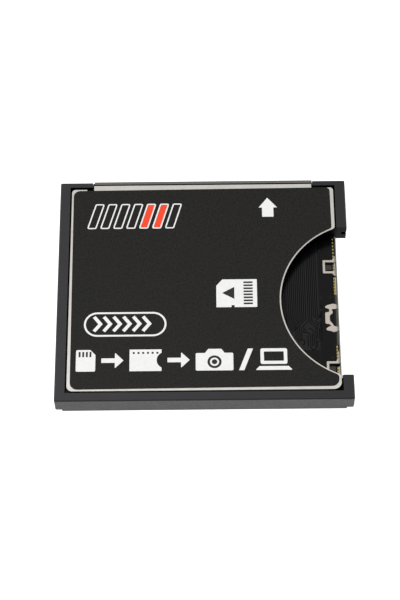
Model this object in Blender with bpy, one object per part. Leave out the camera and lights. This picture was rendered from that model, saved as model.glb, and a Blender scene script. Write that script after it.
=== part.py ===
"""Memory card adapter: a full-size memory card goes into a thin 50-way socket card.

The origin is the middle of the underside. +X points to the side where the memory card goes
in, +Y to the edge with the 50 sockets, and +Z up through the printed cover. Lengths are in
metres. Each piece is one object, and pieces that meet keep a small named gap.
"""
import math

import bmesh
import bpy

# Thickness of the socket card; its width and length are the sums further down
CARD_THICKNESS = 0.0033

# Frame, seen from above
LEFT_RAIL = 0.0015
RIGHT_RAIL = 0.00155
REAR_BAR = 0.0013
FRONT_WALL = 0.00085
LIP_PROUD = 0.0001
TOP_EDGE_CHAMFER = 0.00015
OUTER_CORNER_RADIUS = 0.00022
POCKET_CORNER_RADIUS = 0.0003
LEFT_LEDGE = 0.00068
REAR_LEDGE = 0.002
CROSS_BAR = 0.00105

# Grooves and steps along the frame's outer sides
GUIDE_LENGTH = 0.0258
GUIDE_DEPTH = 0.00075
RIGHT_GUIDE_BOTTOM = 0.0012
RIGHT_GUIDE_HEIGHT = 0.0007
LEFT_GUIDE_BOTTOM = 0.0015
LEFT_GUIDE_HEIGHT = 0.0009
LOWER_STEP_WIDTH = 0.001
LOWER_STEP_HEIGHT = 0.0005

# Room for the memory card, from its stop to the frame's right rail
SLOT_DEPTH = 0.0308

# Metal covers and the flanges that hold them in the frame
SHEET = 0.00015
INNER_BEND = 0.00007
COVER_RECESS = 0.0001
COVER_GAP = 0.0002
COVER_REAR_GAP = 0.00025
COVER_FRONT_GAP = 0.00036
FLANGE_STEP = 0.00005
FLANGE_WEB = 0.0005
FLANGE_GAP = 0.0001
FLANGE_END_GAP = 0.0002
LEFT_FLANGE_REAR_INSET = 0.0021
LEFT_FLANGE_FRONT_INSET = 0.0018
REAR_FLANGE_LEFT_INSET = 0.0019
REAR_FLANGE_RIGHT_INSET = 0.00195
LEG_FLANGE_REAR_INSET = 0.0007
LEG_FLANGE_FRONT_INSET = 0.00065
LEG_WALL = 0.0005
COVER_REAR_LEFT_RADIUS = 0.0008
COVER_REAR_RIGHT_RADIUS = 0.0011
COVER_FRONT_RIGHT_RADIUS = 0.00045
COVER_FRONT_LEFT_RADIUS = 0.0005
TONGUE_SIDE_GAP = 0.00018
TONGUE_RELIEF_WIDTH = 0.00105
TONGUE_RELIEF_DEPTH = 0.00025

# Snap windows in the flanges, and the nubs of the frame that fill them
WINDOW_LENGTH = 0.0012
WINDOW_HEIGHT = 0.0005
WINDOW_EDGE = 0.00018
NUB_CLEARANCE = 0.0001
NUB_PROUD = 0.00003
SIDE_WINDOWS = 3
LEG_WINDOWS = 1

# Thumb notch in the top cover and the label
NOTCH_DEPTH = 0.0083
NOTCH_END_INSET = 0.00008
NOTCH_FRONT_FILLET = 0.0005
NOTCH_REAR_FILLET = 0.0006

# Printed label, which is stuck on a little askew; its turn is in degrees
LABEL_THICKNESS = 0.00006
LABEL_GAP = 0.00002
LABEL_LEFT_BORDER = 0.00036
LABEL_RIGHT_BORDER = 0.00041
LABEL_REAR_BORDER = 0.00037
LABEL_FRONT_BORDER = 0.00012
LABEL_NOTCH_BORDER = 0.0002
LABEL_REAR_RADIUS = 0.00105
LABEL_FRONT_RIGHT_RADIUS = 0.00065
LABEL_FRONT_LEFT_RADIUS = 0.00095
LABEL_TURN = 0.35

# Folded tabs of the bottom cover
TAB_LENGTH = 0.0021
TAB_STRIP = 0.00033
TAB_ARM = 0.00034
TAB_FOOT = 0.00045
TAB_FOOT_LENGTH = 0.0002
TAB_FLARE = 0.0003
TAB_CORNER = 0.0001
LOOP_TAB_WIDTH = 0.00222
FRONT_TAB_INSET = 0.00535
REAR_TAB_INSET = 0.0022
WIDE_TAB_OFFSET = -0.00175
WIDE_TAB_WIDTH = 0.00466
WIDE_TAB_ARM = 0.00062
WIDE_TAB_ARM_INSET = 0.00021

# Edge of the wide tab's plate, as shares of its length from the fold and of its width from its
# middle: a lobe at each end, a bar between them and a neck on each side of the bar
WIDE_TAB_EDGE = (
    (0.16, 0.455), (0.22, 0.48), (0.38, 0.5), (0.56, 0.485), (0.8, 0.45), (0.96, 0.405),
    (0.95, 0.36), (0.8, 0.335), (0.68, 0.31), (0.67, 0.235), (0.74, 0.205), (0.92, 0.195),
    (0.97, 0.16), (0.97, -0.18), (0.91, -0.21), (0.72, -0.215), (0.62, -0.25), (0.6, -0.285),
    (0.72, -0.31), (0.9, -0.36), (0.93, -0.405), (0.86, -0.44), (0.62, -0.46), (0.44, -0.5),
    (0.3, -0.49), (0.16, -0.455), (0.16, -0.322), (0.3, -0.3), (0.42, -0.27), (0.48, -0.2),
    (0.6, -0.14), (0.66, -0.09), (0.66, 0.07), (0.58, 0.12), (0.47, 0.15), (0.44, 0.22),
    (0.5, 0.27), (0.5, 0.305), (0.3, 0.315), (0.16, 0.322),
)

# Circuit board and the small gap under each stacked piece
BOARD_THICKNESS = 0.0004
BOARD_GAP = 0.0001
SEAT_GAP = 0.00003

# Socket header, with as many columns of sockets as fit between the frame's shoulders
HEADER_LENGTH = 0.0058
HEADER_END = 0.00126
HEADER_SHOULDER = 0.0048
HEADER_STEP = 0.0016
HEADER_STEP_GAP = 0.00025
HEADER_SIDE_GAP = 0.00003
HEADER_RELIEF = 0.00014
HEADER_RELIEF_HEIGHT = 0.0008
LIP_LENGTH = 0.00055
LIP_GAP = 0.0001
LIP_CHAMFER = 0.00008
SOCKET_ROWS = 2
SOCKET_PITCH = 0.00127
SOCKET_RADIUS = 0.00034
SOCKET_BACK_WALL = 0.0003
SOCKET_SIDES = 8
TAIL_WIDTH = 0.0003
TAIL_THICKNESS = 0.00012
TAIL_REACH = 0.0012
TAIL_RISE = 0.00045
TAIL_SLOPE = 0.00024
TAIL_ROOT = 0.0003
TAIL_GAP = 0.00025

# Locating pegs under the header and the contact comb
PEG_RADIUS = 0.0004
PEG_HOLE_GAP = 0.0001
PEG_SIDES = 12
PEG_LENGTH = 0.00032
HEADER_PEG_INSET = 0.0009
COMB_PEG_INSET = 0.0008

# Contact comb and its nine spring contacts, counted from the front of the slot
COMB_LENGTH = 0.00135
COMB_END_GAP = 0.0003
COMB_TOP_GAP = 0.00045
COMB_GROOVE_HEIGHT = 0.00045
COMB_GROOVE_GAP = 0.0001
CONTACT_COUNT = 9
CONTACT_PITCH = 0.0025
LAST_CONTACT_PITCH = 0.0017
FIRST_CONTACT_INSET = 0.0024
LAST_CONTACT_INSET = 0.0027
CONTACT_WIDTH = 0.0008
CONTACT_THICKNESS = 0.00012
CONTACT_TAIL = 0.0009
CONTACT_BEAM = 0.0034
CONTACT_SHOULDER = 0.0005
CONTACT_TIP = 0.0009
CONTACT_CREST = 0.00062
CONTACT_TIP_HEIGHT = 0.00022

# Leaf springs in the rear ledge, placed along the card from its stop
LEAF_THICKNESS = 0.00012
LEAF_LENGTH = 0.0046
LEAF_BOW = 0.0003
LEAF_HEIGHT = 0.0009
LEAF_FOOT_HEIGHT = 0.0004
LEAF_FOOT_LENGTH = 0.0008
LEAF_SETBACK = 0.00045
LEAF_POCKET_DEPTH = 0.0013
LEAF_POCKET_END_GAP = 0.0003
LEAF_POCKET_ROOF = 0.0006
CARD_DETECT_PLACE = 0.00475
WRITE_PROTECT_PLACE = 0.01175

# Chips on the board, in rows from the front of the slot to its rear
CHIP_MARGIN = 0.000385
CHIP_END_MARGIN = 0.0015
CHIP_CHAMFER = 0.0001
CONTROLLER_SIDE = 0.0048
CONTROLLER_HEIGHT = 0.00085
LANDS_PER_SIDE = 9
LAND_PITCH = 0.00045
LAND_WIDTH = 0.00022
LAND_HEIGHT = 0.0002
LAND_PROUD = 0.00004
REGULATOR_LENGTH = 0.0029
REGULATOR_WIDTH = 0.0016
REGULATOR_HEIGHT = 0.0011
REGULATOR_STAND = 0.0001
REGULATOR_LEAD = 0.0006
REGULATOR_LEAD_WIDTH = 0.0004
REGULATOR_LEAD_PITCH = 0.00095
CRYSTAL_LENGTH = 0.0032
CRYSTAL_WIDTH = 0.0025
CRYSTAL_BASE = 0.0004
CRYSTAL_LID = 0.0003
CRYSTAL_LID_INSET = 0.0002
CRYSTAL_RADIUS = 0.0003
CAPACITOR_LENGTH = 0.0016
CAPACITOR_WIDTH = 0.0008
CAPACITOR_SIDE_GAP = 0.0006
CAPACITORS_PER_ROW = 2
RESISTOR_LENGTH = 0.001
RESISTOR_WIDTH = 0.0005
RESISTOR_HEIGHT = 0.00035
RESISTOR_SIDE_GAP = 0.0005
RESISTORS_PER_ROW = 3
END_CAP = 0.00028
END_CAP_PROUD = 0.00002

# Facets of round corners and bends, and how far joined or cut shapes run past each other
CORNER_STEPS = 5
NOTCH_STEPS = 40
FILLET_STEPS = 6
BEND_STEPS = 4
LEAF_STEPS = 6
OVERLAP = 0.0002
BEYOND = 0.002

# Levels, worked out from the values above
BOTTOM_OUTER = COVER_RECESS
BOTTOM_INNER = BOTTOM_OUTER + SHEET
BOARD_BOTTOM = BOTTOM_INNER + SEAT_GAP
BOARD_TOP = BOARD_BOTTOM + BOARD_THICKNESS
ON_BOARD = BOARD_TOP + SEAT_GAP
TOP_OUTER = CARD_THICKNESS - COVER_RECESS
TOP_INNER = TOP_OUTER - SHEET
LEDGE_TOP = TOP_INNER - SEAT_GAP
BEND_RADIUS = SHEET + INNER_BEND
FLANGE_DROP = CARD_THICKNESS / 2 - COVER_RECESS - FLANGE_GAP - FLANGE_WEB / 2

# Width and length of the socket card, as what it holds from side to side and end to end
FLANGE_ROOM = COVER_GAP + SHEET + FLANGE_GAP
REAR_FLANGE_ROOM = COVER_REAR_GAP + SHEET + FLANGE_GAP
CHIP_ROOM = CHIP_MARGIN + CONTROLLER_SIDE + CHIP_MARGIN + CONTACT_TAIL
CONTACT_SPAN = (CONTACT_COUNT - 2) * CONTACT_PITCH + LAST_CONTACT_PITCH
SLOT_WIDTH = FIRST_CONTACT_INSET + CONTACT_SPAN + LAST_CONTACT_INSET
CARD_WIDTH = LEFT_RAIL + FLANGE_ROOM + LEFT_LEDGE + CHIP_ROOM + COMB_LENGTH + SLOT_DEPTH + RIGHT_RAIL
CARD_LENGTH = (
    REAR_BAR + REAR_FLANGE_ROOM + REAR_LEDGE + SLOT_WIDTH + CROSS_BAR + TAIL_GAP + TAIL_REACH + HEADER_LENGTH
)

# Plan positions, worked out from the values above
LEFT = -CARD_WIDTH / 2
RIGHT = CARD_WIDTH / 2
REAR = -CARD_LENGTH / 2
FRONT = CARD_LENGTH / 2
FRAME_FRONT = FRONT - LIP_PROUD
POCKET_LEFT = LEFT + LEFT_RAIL
POCKET_RIGHT = RIGHT - RIGHT_RAIL
POCKET_REAR = REAR + REAR_BAR
POCKET_FRONT = FRAME_FRONT - FRONT_WALL
FLANGE_LEFT = POCKET_LEFT + COVER_GAP
FLANGE_RIGHT = POCKET_RIGHT - COVER_GAP
FLANGE_REAR = POCKET_REAR + COVER_REAR_GAP
COVER_LEFT = FLANGE_LEFT + FLANGE_STEP
COVER_RIGHT = FLANGE_RIGHT - FLANGE_STEP
COVER_REAR = FLANGE_REAR + FLANGE_STEP
COVER_FRONT = POCKET_FRONT - COVER_FRONT_GAP
LEDGE_LEFT = POCKET_LEFT + FLANGE_ROOM
LEDGE_RIGHT = POCKET_RIGHT - FLANGE_ROOM
LEDGE_REAR = POCKET_REAR + REAR_FLANGE_ROOM
ROOM_LEFT = LEDGE_LEFT + LEFT_LEDGE
SLOT_REAR = LEDGE_REAR + REAR_LEDGE
SLOT_FRONT = SLOT_REAR + SLOT_WIDTH
SLOT_CENTRE = (SLOT_REAR + SLOT_FRONT) / 2
BAY_REAR = SLOT_FRONT + CROSS_BAR
SOCKET_ROOM = CARD_WIDTH - 2 * (HEADER_SHOULDER + HEADER_END)
SOCKET_COLUMNS = 1 + int(SOCKET_ROOM / SOCKET_PITCH)
HEADER_HALF_WIDTH = (SOCKET_COLUMNS - 1) / 2 * SOCKET_PITCH + HEADER_END
BAY_HALF_WIDTH = HEADER_HALF_WIDTH + HEADER_SIDE_GAP
HEADER_REAR = FRONT - HEADER_LENGTH
HEADER_STEP_FRONT = HEADER_REAR + HEADER_STEP
BOARD_FRONT = HEADER_STEP_FRONT - HEADER_STEP_GAP
LIP_REAR = FRONT - LIP_LENGTH
TONGUE_FRONT = LIP_REAR - LIP_GAP
TONGUE_HALF_WIDTH = BAY_HALF_WIDTH - TONGUE_SIDE_GAP
MOUTH_OUTER = POCKET_RIGHT
MOUTH_INNER = MOUTH_OUTER - SHEET
MOUTH_REAR = SLOT_REAR + FLANGE_END_GAP
MOUTH_FRONT = SLOT_FRONT - FLANGE_END_GAP
COMB_RIGHT = POCKET_RIGHT - SLOT_DEPTH
COMB_LEFT = COMB_RIGHT - COMB_LENGTH
COMB_REAR = SLOT_REAR + COMB_END_GAP
COMB_FRONT = SLOT_FRONT - COMB_END_GAP
CHIP_X = ROOM_LEFT + CHIP_MARGIN + CONTROLLER_SIDE / 2
NOTCH_HALF_OPENING = SLOT_WIDTH / 2 - NOTCH_END_INSET
NOTCH_RADIUS = (NOTCH_HALF_OPENING ** 2 + NOTCH_DEPTH ** 2) / (2 * NOTCH_DEPTH)
NOTCH_CENTRE = (COVER_RIGHT - NOTCH_DEPTH + NOTCH_RADIUS, SLOT_CENTRE)
TAB_TOP = ON_BOARD + SHEET
LOOP_TAB_CENTRES = (SLOT_FRONT - FRONT_TAB_INSET, SLOT_REAR + REAR_TAB_INSET)
WIDE_TAB_CENTRE = SLOT_CENTRE + WIDE_TAB_OFFSET


def clear_scene():
    """Remove every object, so that the model starts from nothing."""
    for old in list(bpy.data.objects):
        bpy.data.objects.remove(old)


def finish(name, colour, roughness, metallic=0.0):
    """Make a plain material with one Principled shader."""
    material = bpy.data.materials.new(name)
    material.use_nodes = True
    shader = material.node_tree.nodes["Principled BSDF"]
    shader.inputs["Base Color"].default_value = (*colour, 1.0)
    shader.inputs["Roughness"].default_value = roughness
    shader.inputs["Metallic"].default_value = metallic
    return material


def arc(centre, radius, start, end, steps):
    """Points on an arc, from one angle to another in degrees, both ends included."""
    angles = [math.radians(start + (end - start) * i / steps) for i in range(steps + 1)]
    return [(centre[0] + radius * math.cos(a), centre[1] + radius * math.sin(a)) for a in angles]


def rectangle(x0, x1, y0, y1):
    """Corners of a rectangle, counterclockwise."""
    return [(x0, y0), (x1, y0), (x1, y1), (x0, y1)]


def corner(x, y, radius, start, sense):
    """Round corner at (x, y), a quarter turn on from an angle; sense points to its inside."""
    centre = (x + sense[0] * radius, y + sense[1] * radius)
    return arc(centre, radius, start, start + 90, CORNER_STEPS)


def rounded(x0, x1, y0, y1, radius):
    """Outline of a rectangle with round corners, counterclockwise from the low left one."""
    return (
        corner(x0, y0, radius, 180, (1, 1))
        + corner(x1, y0, radius, 270, (-1, 1))
        + corner(x1, y1, radius, 0, (-1, -1))
        + corner(x0, y1, radius, 90, (1, -1))
    )


def turned(outline, angle):
    """Outline turned counterclockwise about the origin by an angle in degrees."""
    c, s = math.cos(math.radians(angle)), math.sin(math.radians(angle))
    return [(x * c - y * s, x * s + y * c) for x, y in outline]


def place(axis, u, v, w):
    """Turn outline coordinates and a position along the axis into x, y, z."""
    if axis == "X":
        return (w, u, v)
    if axis == "Y":
        return (u, w, v)
    return (u, v, w)


def skin(mesh, layers, axis="Z"):
    """Add a solid through layers of (position, outline); the end layers are closed."""
    rings = [[mesh.verts.new(place(axis, u, v, w)) for u, v in outline] for w, outline in layers]
    count = len(rings[0])
    for low, high in zip(rings, rings[1:]):
        for i in range(count):
            j = (i + 1) % count
            mesh.faces.new((low[i], low[j], high[j], high[i]))
    mesh.faces.new(list(reversed(rings[0])))
    mesh.faces.new(rings[-1])


def prism(mesh, outline, low, high, axis="Z"):
    """Add a straight prism between two positions along the axis."""
    skin(mesh, [(low, outline), (high, outline)], axis)


def box(mesh, x, y, z):
    """Add a block from (low, high) pairs along the three axes."""
    prism(mesh, rectangle(x[0], x[1], y[0], y[1]), z[0], z[1])


def disc(mesh, centre, radius, low, high, sides, axis="Z"):
    """Add a round bar."""
    turn = 360 / sides
    prism(mesh, arc(centre, radius, 0, 360 - turn, sides - 1), low, high, axis)


def make(name, mesh, material=None):
    """Link a finished mesh as an object, with its faces pointing out."""
    bmesh.ops.recalc_face_normals(mesh, faces=mesh.faces)
    data = bpy.data.meshes.new(name)
    mesh.to_mesh(data)
    mesh.free()
    if material:
        data.materials.append(material)
    made = bpy.data.objects.new(name, data)
    bpy.context.scene.collection.objects.link(made)
    return made


def combine(piece, operation, label, mesh):
    """Cut a piece with a shape, or join the shape to it, by a Boolean modifier."""
    guide = make(f"{piece.name}_{label}", mesh)
    guide.hide_render = True
    guide.display_type = "WIRE"
    modifier = piece.modifiers.new(label, "BOOLEAN")
    modifier.operation = operation
    modifier.solver = "EXACT"
    modifier.object = guide


def cut(piece, label, mesh):
    """Take a shape away from a piece."""
    combine(piece, "DIFFERENCE", label, mesh)


def join(piece, label, mesh):
    """Add a shape to a piece."""
    combine(piece, "UNION", label, mesh)


def spread(low, high, count):
    """Middle points of a number of equal stretches between two ends."""
    step = (high - low) / count
    return [low + step * (i + 0.5) for i in range(count)]


def flange_runs():
    """Bent edges both covers have: side, outer face, run along it and number of windows."""
    leg_rear = SLOT_FRONT + LEG_FLANGE_REAR_INSET
    return (
        ("left", FLANGE_LEFT, (COVER_REAR + LEFT_FLANGE_REAR_INSET, COVER_FRONT - LEFT_FLANGE_FRONT_INSET),
         SIDE_WINDOWS),
        ("rear", FLANGE_REAR, (COVER_LEFT + REAR_FLANGE_LEFT_INSET, COVER_RIGHT - REAR_FLANGE_RIGHT_INSET),
         SIDE_WINDOWS),
        ("right", FLANGE_RIGHT, (leg_rear, COVER_FRONT - LEG_FLANGE_FRONT_INSET), LEG_WINDOWS),
    )


def frame_blank():
    """Outer block of the frame with its soft corners and chamfered upper edge."""
    mesh = bmesh.new()
    shoulder = CARD_THICKNESS - TOP_EDGE_CHAMFER
    outer = rounded(LEFT, RIGHT, REAR, FRAME_FRONT, OUTER_CORNER_RADIUS)
    inset = TOP_EDGE_CHAMFER
    radius = OUTER_CORNER_RADIUS - inset
    upper = rounded(LEFT + inset, RIGHT - inset, REAR + inset, FRAME_FRONT - inset, radius)
    skin(mesh, [(0, outer), (shoulder, outer), (CARD_THICKNESS, upper)])
    return mesh


def cover_pockets():
    """Shallow recesses that take the two covers."""
    mesh = bmesh.new()
    outline = rounded(POCKET_LEFT, POCKET_RIGHT, POCKET_REAR, POCKET_FRONT, POCKET_CORNER_RADIUS)
    prism(mesh, outline, LEDGE_TOP, CARD_THICKNESS + BEYOND)
    prism(mesh, outline, -BEYOND, BOARD_BOTTOM)
    return mesh


def card_room():
    """Through opening for the memory card and the chips behind it."""
    mesh = bmesh.new()
    height = (-BEYOND, CARD_THICKNESS + BEYOND)
    box(mesh, (ROOM_LEFT, RIGHT + BEYOND), (SLOT_REAR, SLOT_FRONT), height)
    return mesh


def header_bay():
    """Through opening for the socket header, open at the front."""
    mesh = bmesh.new()
    height = (-BEYOND, CARD_THICKNESS + BEYOND)
    box(mesh, (-BAY_HALF_WIDTH, BAY_HALF_WIDTH), (BAY_REAR, FRONT + BEYOND), height)
    return mesh


def board_room():
    """Room for the circuit board under the ledges."""
    mesh = bmesh.new()
    box(mesh, (LEDGE_LEFT, LEDGE_RIGHT), (LEDGE_REAR, BOARD_FRONT + BOARD_GAP), (0, ON_BOARD))
    return mesh


def flange_slots():
    """Slots beside the ledges, up to the pockets' corners, for the flanges of both covers."""
    mesh = bmesh.new()
    upper = (TOP_OUTER - FLANGE_DROP - FLANGE_GAP, CARD_THICKNESS + BEYOND)
    lower = (-BEYOND, BOTTOM_OUTER + FLANGE_DROP + FLANGE_GAP)
    left_and_rear = [
        (POCKET_LEFT, POCKET_REAR), (POCKET_RIGHT, POCKET_REAR), (POCKET_RIGHT, LEDGE_REAR),
        (LEDGE_LEFT, LEDGE_REAR), (LEDGE_LEFT, POCKET_FRONT), (POCKET_LEFT, POCKET_FRONT),
    ]
    for level in (upper, lower):
        prism(mesh, left_and_rear, *level)
        box(mesh, (LEDGE_RIGHT, POCKET_RIGHT), (SLOT_FRONT + LEG_WALL, POCKET_FRONT), level)
    return mesh


def guide_grooves():
    """Grooves along the outer sides, which a socket's rails run in."""
    mesh = bmesh.new()
    along = (FRONT - GUIDE_LENGTH, FRONT + BEYOND)
    right_groove = (RIGHT_GUIDE_BOTTOM, RIGHT_GUIDE_BOTTOM + RIGHT_GUIDE_HEIGHT)
    left_groove = (LEFT_GUIDE_BOTTOM, LEFT_GUIDE_BOTTOM + LEFT_GUIDE_HEIGHT)
    box(mesh, (RIGHT - GUIDE_DEPTH, RIGHT + BEYOND), along, right_groove)
    box(mesh, (LEFT - BEYOND, LEFT + GUIDE_DEPTH), along, left_groove)
    return mesh


def lower_steps():
    """Narrower lowest layer of the frame, on both outer sides of its rear end."""
    mesh = bmesh.new()
    along = (REAR - BEYOND, SLOT_REAR)
    level = (-BEYOND, LOWER_STEP_HEIGHT)
    box(mesh, (RIGHT - LOWER_STEP_WIDTH, RIGHT + BEYOND), along, level)
    box(mesh, (LEFT - BEYOND, LEFT + LOWER_STEP_WIDTH), along, level)
    return mesh


def leaf_pockets():
    """Pockets in the rear ledge for the two leaf springs."""
    mesh = bmesh.new()
    reach = LEAF_LENGTH / 2 + LEAF_POCKET_END_GAP
    for offset in (CARD_DETECT_PLACE, WRITE_PROTECT_PLACE):
        middle = COMB_RIGHT + offset
        box(
            mesh,
            (middle - reach, middle + reach),
            (SLOT_REAR - LEAF_POCKET_DEPTH, SLOT_REAR + OVERLAP),
            (ON_BOARD - OVERLAP, LEDGE_TOP - LEAF_POCKET_ROOF),
        )
    return mesh


def window_levels():
    """Height of the snap windows in the upper and the lower flanges."""
    upper = TOP_OUTER - FLANGE_DROP + WINDOW_EDGE
    lower = BOTTOM_OUTER + FLANGE_DROP - WINDOW_EDGE - WINDOW_HEIGHT
    return (upper, upper + WINDOW_HEIGHT), (lower, lower + WINDOW_HEIGHT)


def snap_nubs():
    """Nubs on the frame's inner walls that stand in the windows of the flanges."""
    mesh = bmesh.new()
    half = WINDOW_LENGTH / 2 - NUB_CLEARANCE
    side_reach = COVER_GAP + SHEET + NUB_PROUD
    rear_reach = COVER_REAR_GAP + SHEET + NUB_PROUD
    for side, _, run, windows in flange_runs():
        for middle in spread(run[0], run[1], windows):
            along = (middle - half, middle + half)
            for low, high in window_levels():
                level = (low + NUB_CLEARANCE, high - NUB_CLEARANCE)
                if side == "left":
                    box(mesh, (POCKET_LEFT - OVERLAP, POCKET_LEFT + side_reach), along, level)
                elif side == "right":
                    box(mesh, (POCKET_RIGHT - side_reach, POCKET_RIGHT + OVERLAP), along, level)
                else:
                    box(mesh, along, (POCKET_REAR - OVERLAP, POCKET_REAR + rear_reach), level)
    return mesh


def build_frame(plastic):
    """Moulded frame, open at the right for the memory card and at the front for the header."""
    frame = make("frame", frame_blank(), plastic)
    cut(frame, "cover_pockets", cover_pockets())
    cut(frame, "card_room", card_room())
    cut(frame, "header_bay", header_bay())
    cut(frame, "board_room", board_room())
    cut(frame, "flange_slots", flange_slots())
    cut(frame, "guide_grooves", guide_grooves())
    cut(frame, "lower_steps", lower_steps())
    cut(frame, "leaf_pockets", leaf_pockets())
    join(frame, "snap_nubs", snap_nubs())


def notch_edge(right, centre, radius):
    """Edge of the thumb notch, from the rear to the front, rounded into the right edge."""
    centre_x, centre_y = centre
    ends = []
    for side, fillet in ((-1, NOTCH_REAR_FILLET), (1, NOTCH_FRONT_FILLET)):
        x = right - fillet
        rise = side * math.sqrt((radius + fillet) ** 2 - (x - centre_x) ** 2)
        angle = math.degrees(math.atan2(rise, x - centre_x)) % 360
        ends.append(((x, centre_y + rise), angle))
    (rear_centre, rear_angle), (front_centre, front_angle) = ends
    edge = arc(rear_centre, NOTCH_REAR_FILLET, 0, rear_angle - 180, FILLET_STEPS)
    edge += arc(centre, radius, rear_angle, front_angle, NOTCH_STEPS)[1:-1]
    edge += arc(front_centre, NOTCH_FRONT_FILLET, front_angle - 180, 0, FILLET_STEPS)
    return edge


def tongue_edge():
    """Front edge of a cover, from the right to the left, with its tongue over the header."""
    relief = COVER_FRONT - TONGUE_RELIEF_DEPTH
    outer = TONGUE_HALF_WIDTH + TONGUE_RELIEF_WIDTH
    right = [
        (outer, COVER_FRONT),
        (outer, relief),
        (TONGUE_HALF_WIDTH, relief),
        (TONGUE_HALF_WIDTH, TONGUE_FRONT),
    ]
    return right + [(-x, y) for x, y in reversed(right)]


def cover_outline(right_edge):
    """Flat outline of a cover, counterclockwise, around the points of its right edge."""
    return (
        corner(COVER_LEFT, COVER_REAR, COVER_REAR_LEFT_RADIUS, 180, (1, 1))
        + corner(COVER_RIGHT, COVER_REAR, COVER_REAR_RIGHT_RADIUS, 270, (-1, 1))
        + right_edge
        + corner(COVER_RIGHT, COVER_FRONT, COVER_FRONT_RIGHT_RADIUS, 0, (-1, -1))
        + tongue_edge()
        + corner(COVER_LEFT, COVER_FRONT, COVER_FRONT_LEFT_RADIUS, 90, (1, -1))
    )


def bent_edge(outer, root, face, end):
    """Section of a bent edge: flat from root, round the bend, then along the face to its end.

    outer is the level of the sheet's outer side, and root and face are positions across the
    edge. The section is drawn for any of the four senses of bending.
    """
    out = 1 if face > root else -1
    down = 1 if end > outer else -1
    centre = (face - out * BEND_RADIUS, outer + down * BEND_RADIUS)
    section = []
    for radius, order in ((BEND_RADIUS, 1), (BEND_RADIUS - SHEET, -1)):
        bend = [
            (centre[0] + out * radius * math.sin(a), centre[1] - down * radius * math.cos(a))
            for a in [math.pi / 2 * i / BEND_STEPS for i in range(BEND_STEPS + 1)]
        ]
        side = [(root, outer + down * (BEND_RADIUS - radius))] + bend + [(centre[0] + out * radius, end)]
        section += side[::order]
    return section


def flanges(outer, end):
    """Bent edges of a cover, as separate strips that overlap its plate a little."""
    mesh = bmesh.new()
    for side, face, run, _ in flange_runs():
        inward = -1 if side == "right" else 1
        root = face + inward * (BEND_RADIUS + FLANGE_STEP + OVERLAP)
        section = bent_edge(outer, root, face, end)
        prism(mesh, section, run[0], run[1], "X" if side == "rear" else "Y")
    return mesh


def flange_windows(level):
    """Cutters for the snap windows of one cover's flanges."""
    mesh = bmesh.new()
    half = WINDOW_LENGTH / 2
    for side, face, run, windows in flange_runs():
        across = (face - SHEET - OVERLAP, face + SHEET + OVERLAP)
        for middle in spread(run[0], run[1], windows):
            along = (middle - half, middle + half)
            if side == "rear":
                box(mesh, along, across, level)
            else:
                box(mesh, across, along, level)
    return mesh


def build_top_cover(steel):
    """Upper metal cover with the thumb notch and three flanges bent down."""
    mesh = bmesh.new()
    notch = notch_edge(COVER_RIGHT, NOTCH_CENTRE, NOTCH_RADIUS)
    prism(mesh, cover_outline(notch), TOP_INNER, TOP_OUTER)
    cover = make("top_cover", mesh, steel)
    join(cover, "flanges", flanges(TOP_OUTER, TOP_OUTER - FLANGE_DROP))
    cut(cover, "windows", flange_windows(window_levels()[0]))


def build_label(film):
    """Printed film on the top cover: turned a little, but with its notch along the cover's."""
    left = COVER_LEFT + LABEL_LEFT_BORDER
    right = COVER_RIGHT - LABEL_RIGHT_BORDER
    rear = COVER_REAR + LABEL_REAR_BORDER
    front = COVER_FRONT - LABEL_FRONT_BORDER
    low = TOP_OUTER + LABEL_GAP
    notch_centre = turned([NOTCH_CENTRE], -LABEL_TURN)[0]
    outline = corner(left, rear, LABEL_REAR_RADIUS, 180, (1, 1))
    outline += corner(right, rear, LABEL_REAR_RADIUS, 270, (-1, 1))
    outline += notch_edge(right, notch_centre, NOTCH_RADIUS + LABEL_NOTCH_BORDER)
    outline += corner(right, front, LABEL_FRONT_RIGHT_RADIUS, 0, (-1, -1))
    outline += corner(left, front, LABEL_FRONT_LEFT_RADIUS, 90, (1, -1))
    mesh = bmesh.new()
    prism(mesh, turned(outline, LABEL_TURN), low, low + LABEL_THICKNESS)
    make("top_label", mesh, film)


def mouth_flange():
    """Upright edge of the bottom cover along the card mouth."""
    mesh = bmesh.new()
    root = MOUTH_OUTER - BEND_RADIUS - OVERLAP
    section = bent_edge(BOTTOM_OUTER, root, MOUTH_OUTER, BOARD_TOP)
    prism(mesh, section, MOUTH_REAR, MOUTH_FRONT, "Y")
    return mesh


def folded_strip(mesh, length, low, high):
    """Strip of a tab: up from the mouth flange and folded over the board by a length."""
    section = bent_edge(TAB_TOP, MOUTH_OUTER - length, MOUTH_OUTER, BOARD_TOP - OVERLAP)
    prism(mesh, section, low, high, "Y")


def tab_folds():
    """Folds of the tabs over the board's edge, as wide as the feet of each arm."""
    mesh = bmesh.new()
    reach = BEND_RADIUS + OVERLAP
    half = LOOP_TAB_WIDTH / 2
    for middle in LOOP_TAB_CENTRES:
        folded_strip(mesh, reach, middle - half - TAB_FOOT, middle - half + TAB_ARM)
        folded_strip(mesh, reach, middle + half - TAB_ARM, middle + half + TAB_FOOT)
    outer = WIDE_TAB_WIDTH / 2 - WIDE_TAB_ARM_INSET
    inner = outer - WIDE_TAB_ARM
    folded_strip(mesh, reach, WIDE_TAB_CENTRE - outer, WIDE_TAB_CENTRE - inner)
    folded_strip(mesh, reach, WIDE_TAB_CENTRE + inner, WIDE_TAB_CENTRE + outer)
    return mesh


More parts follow.
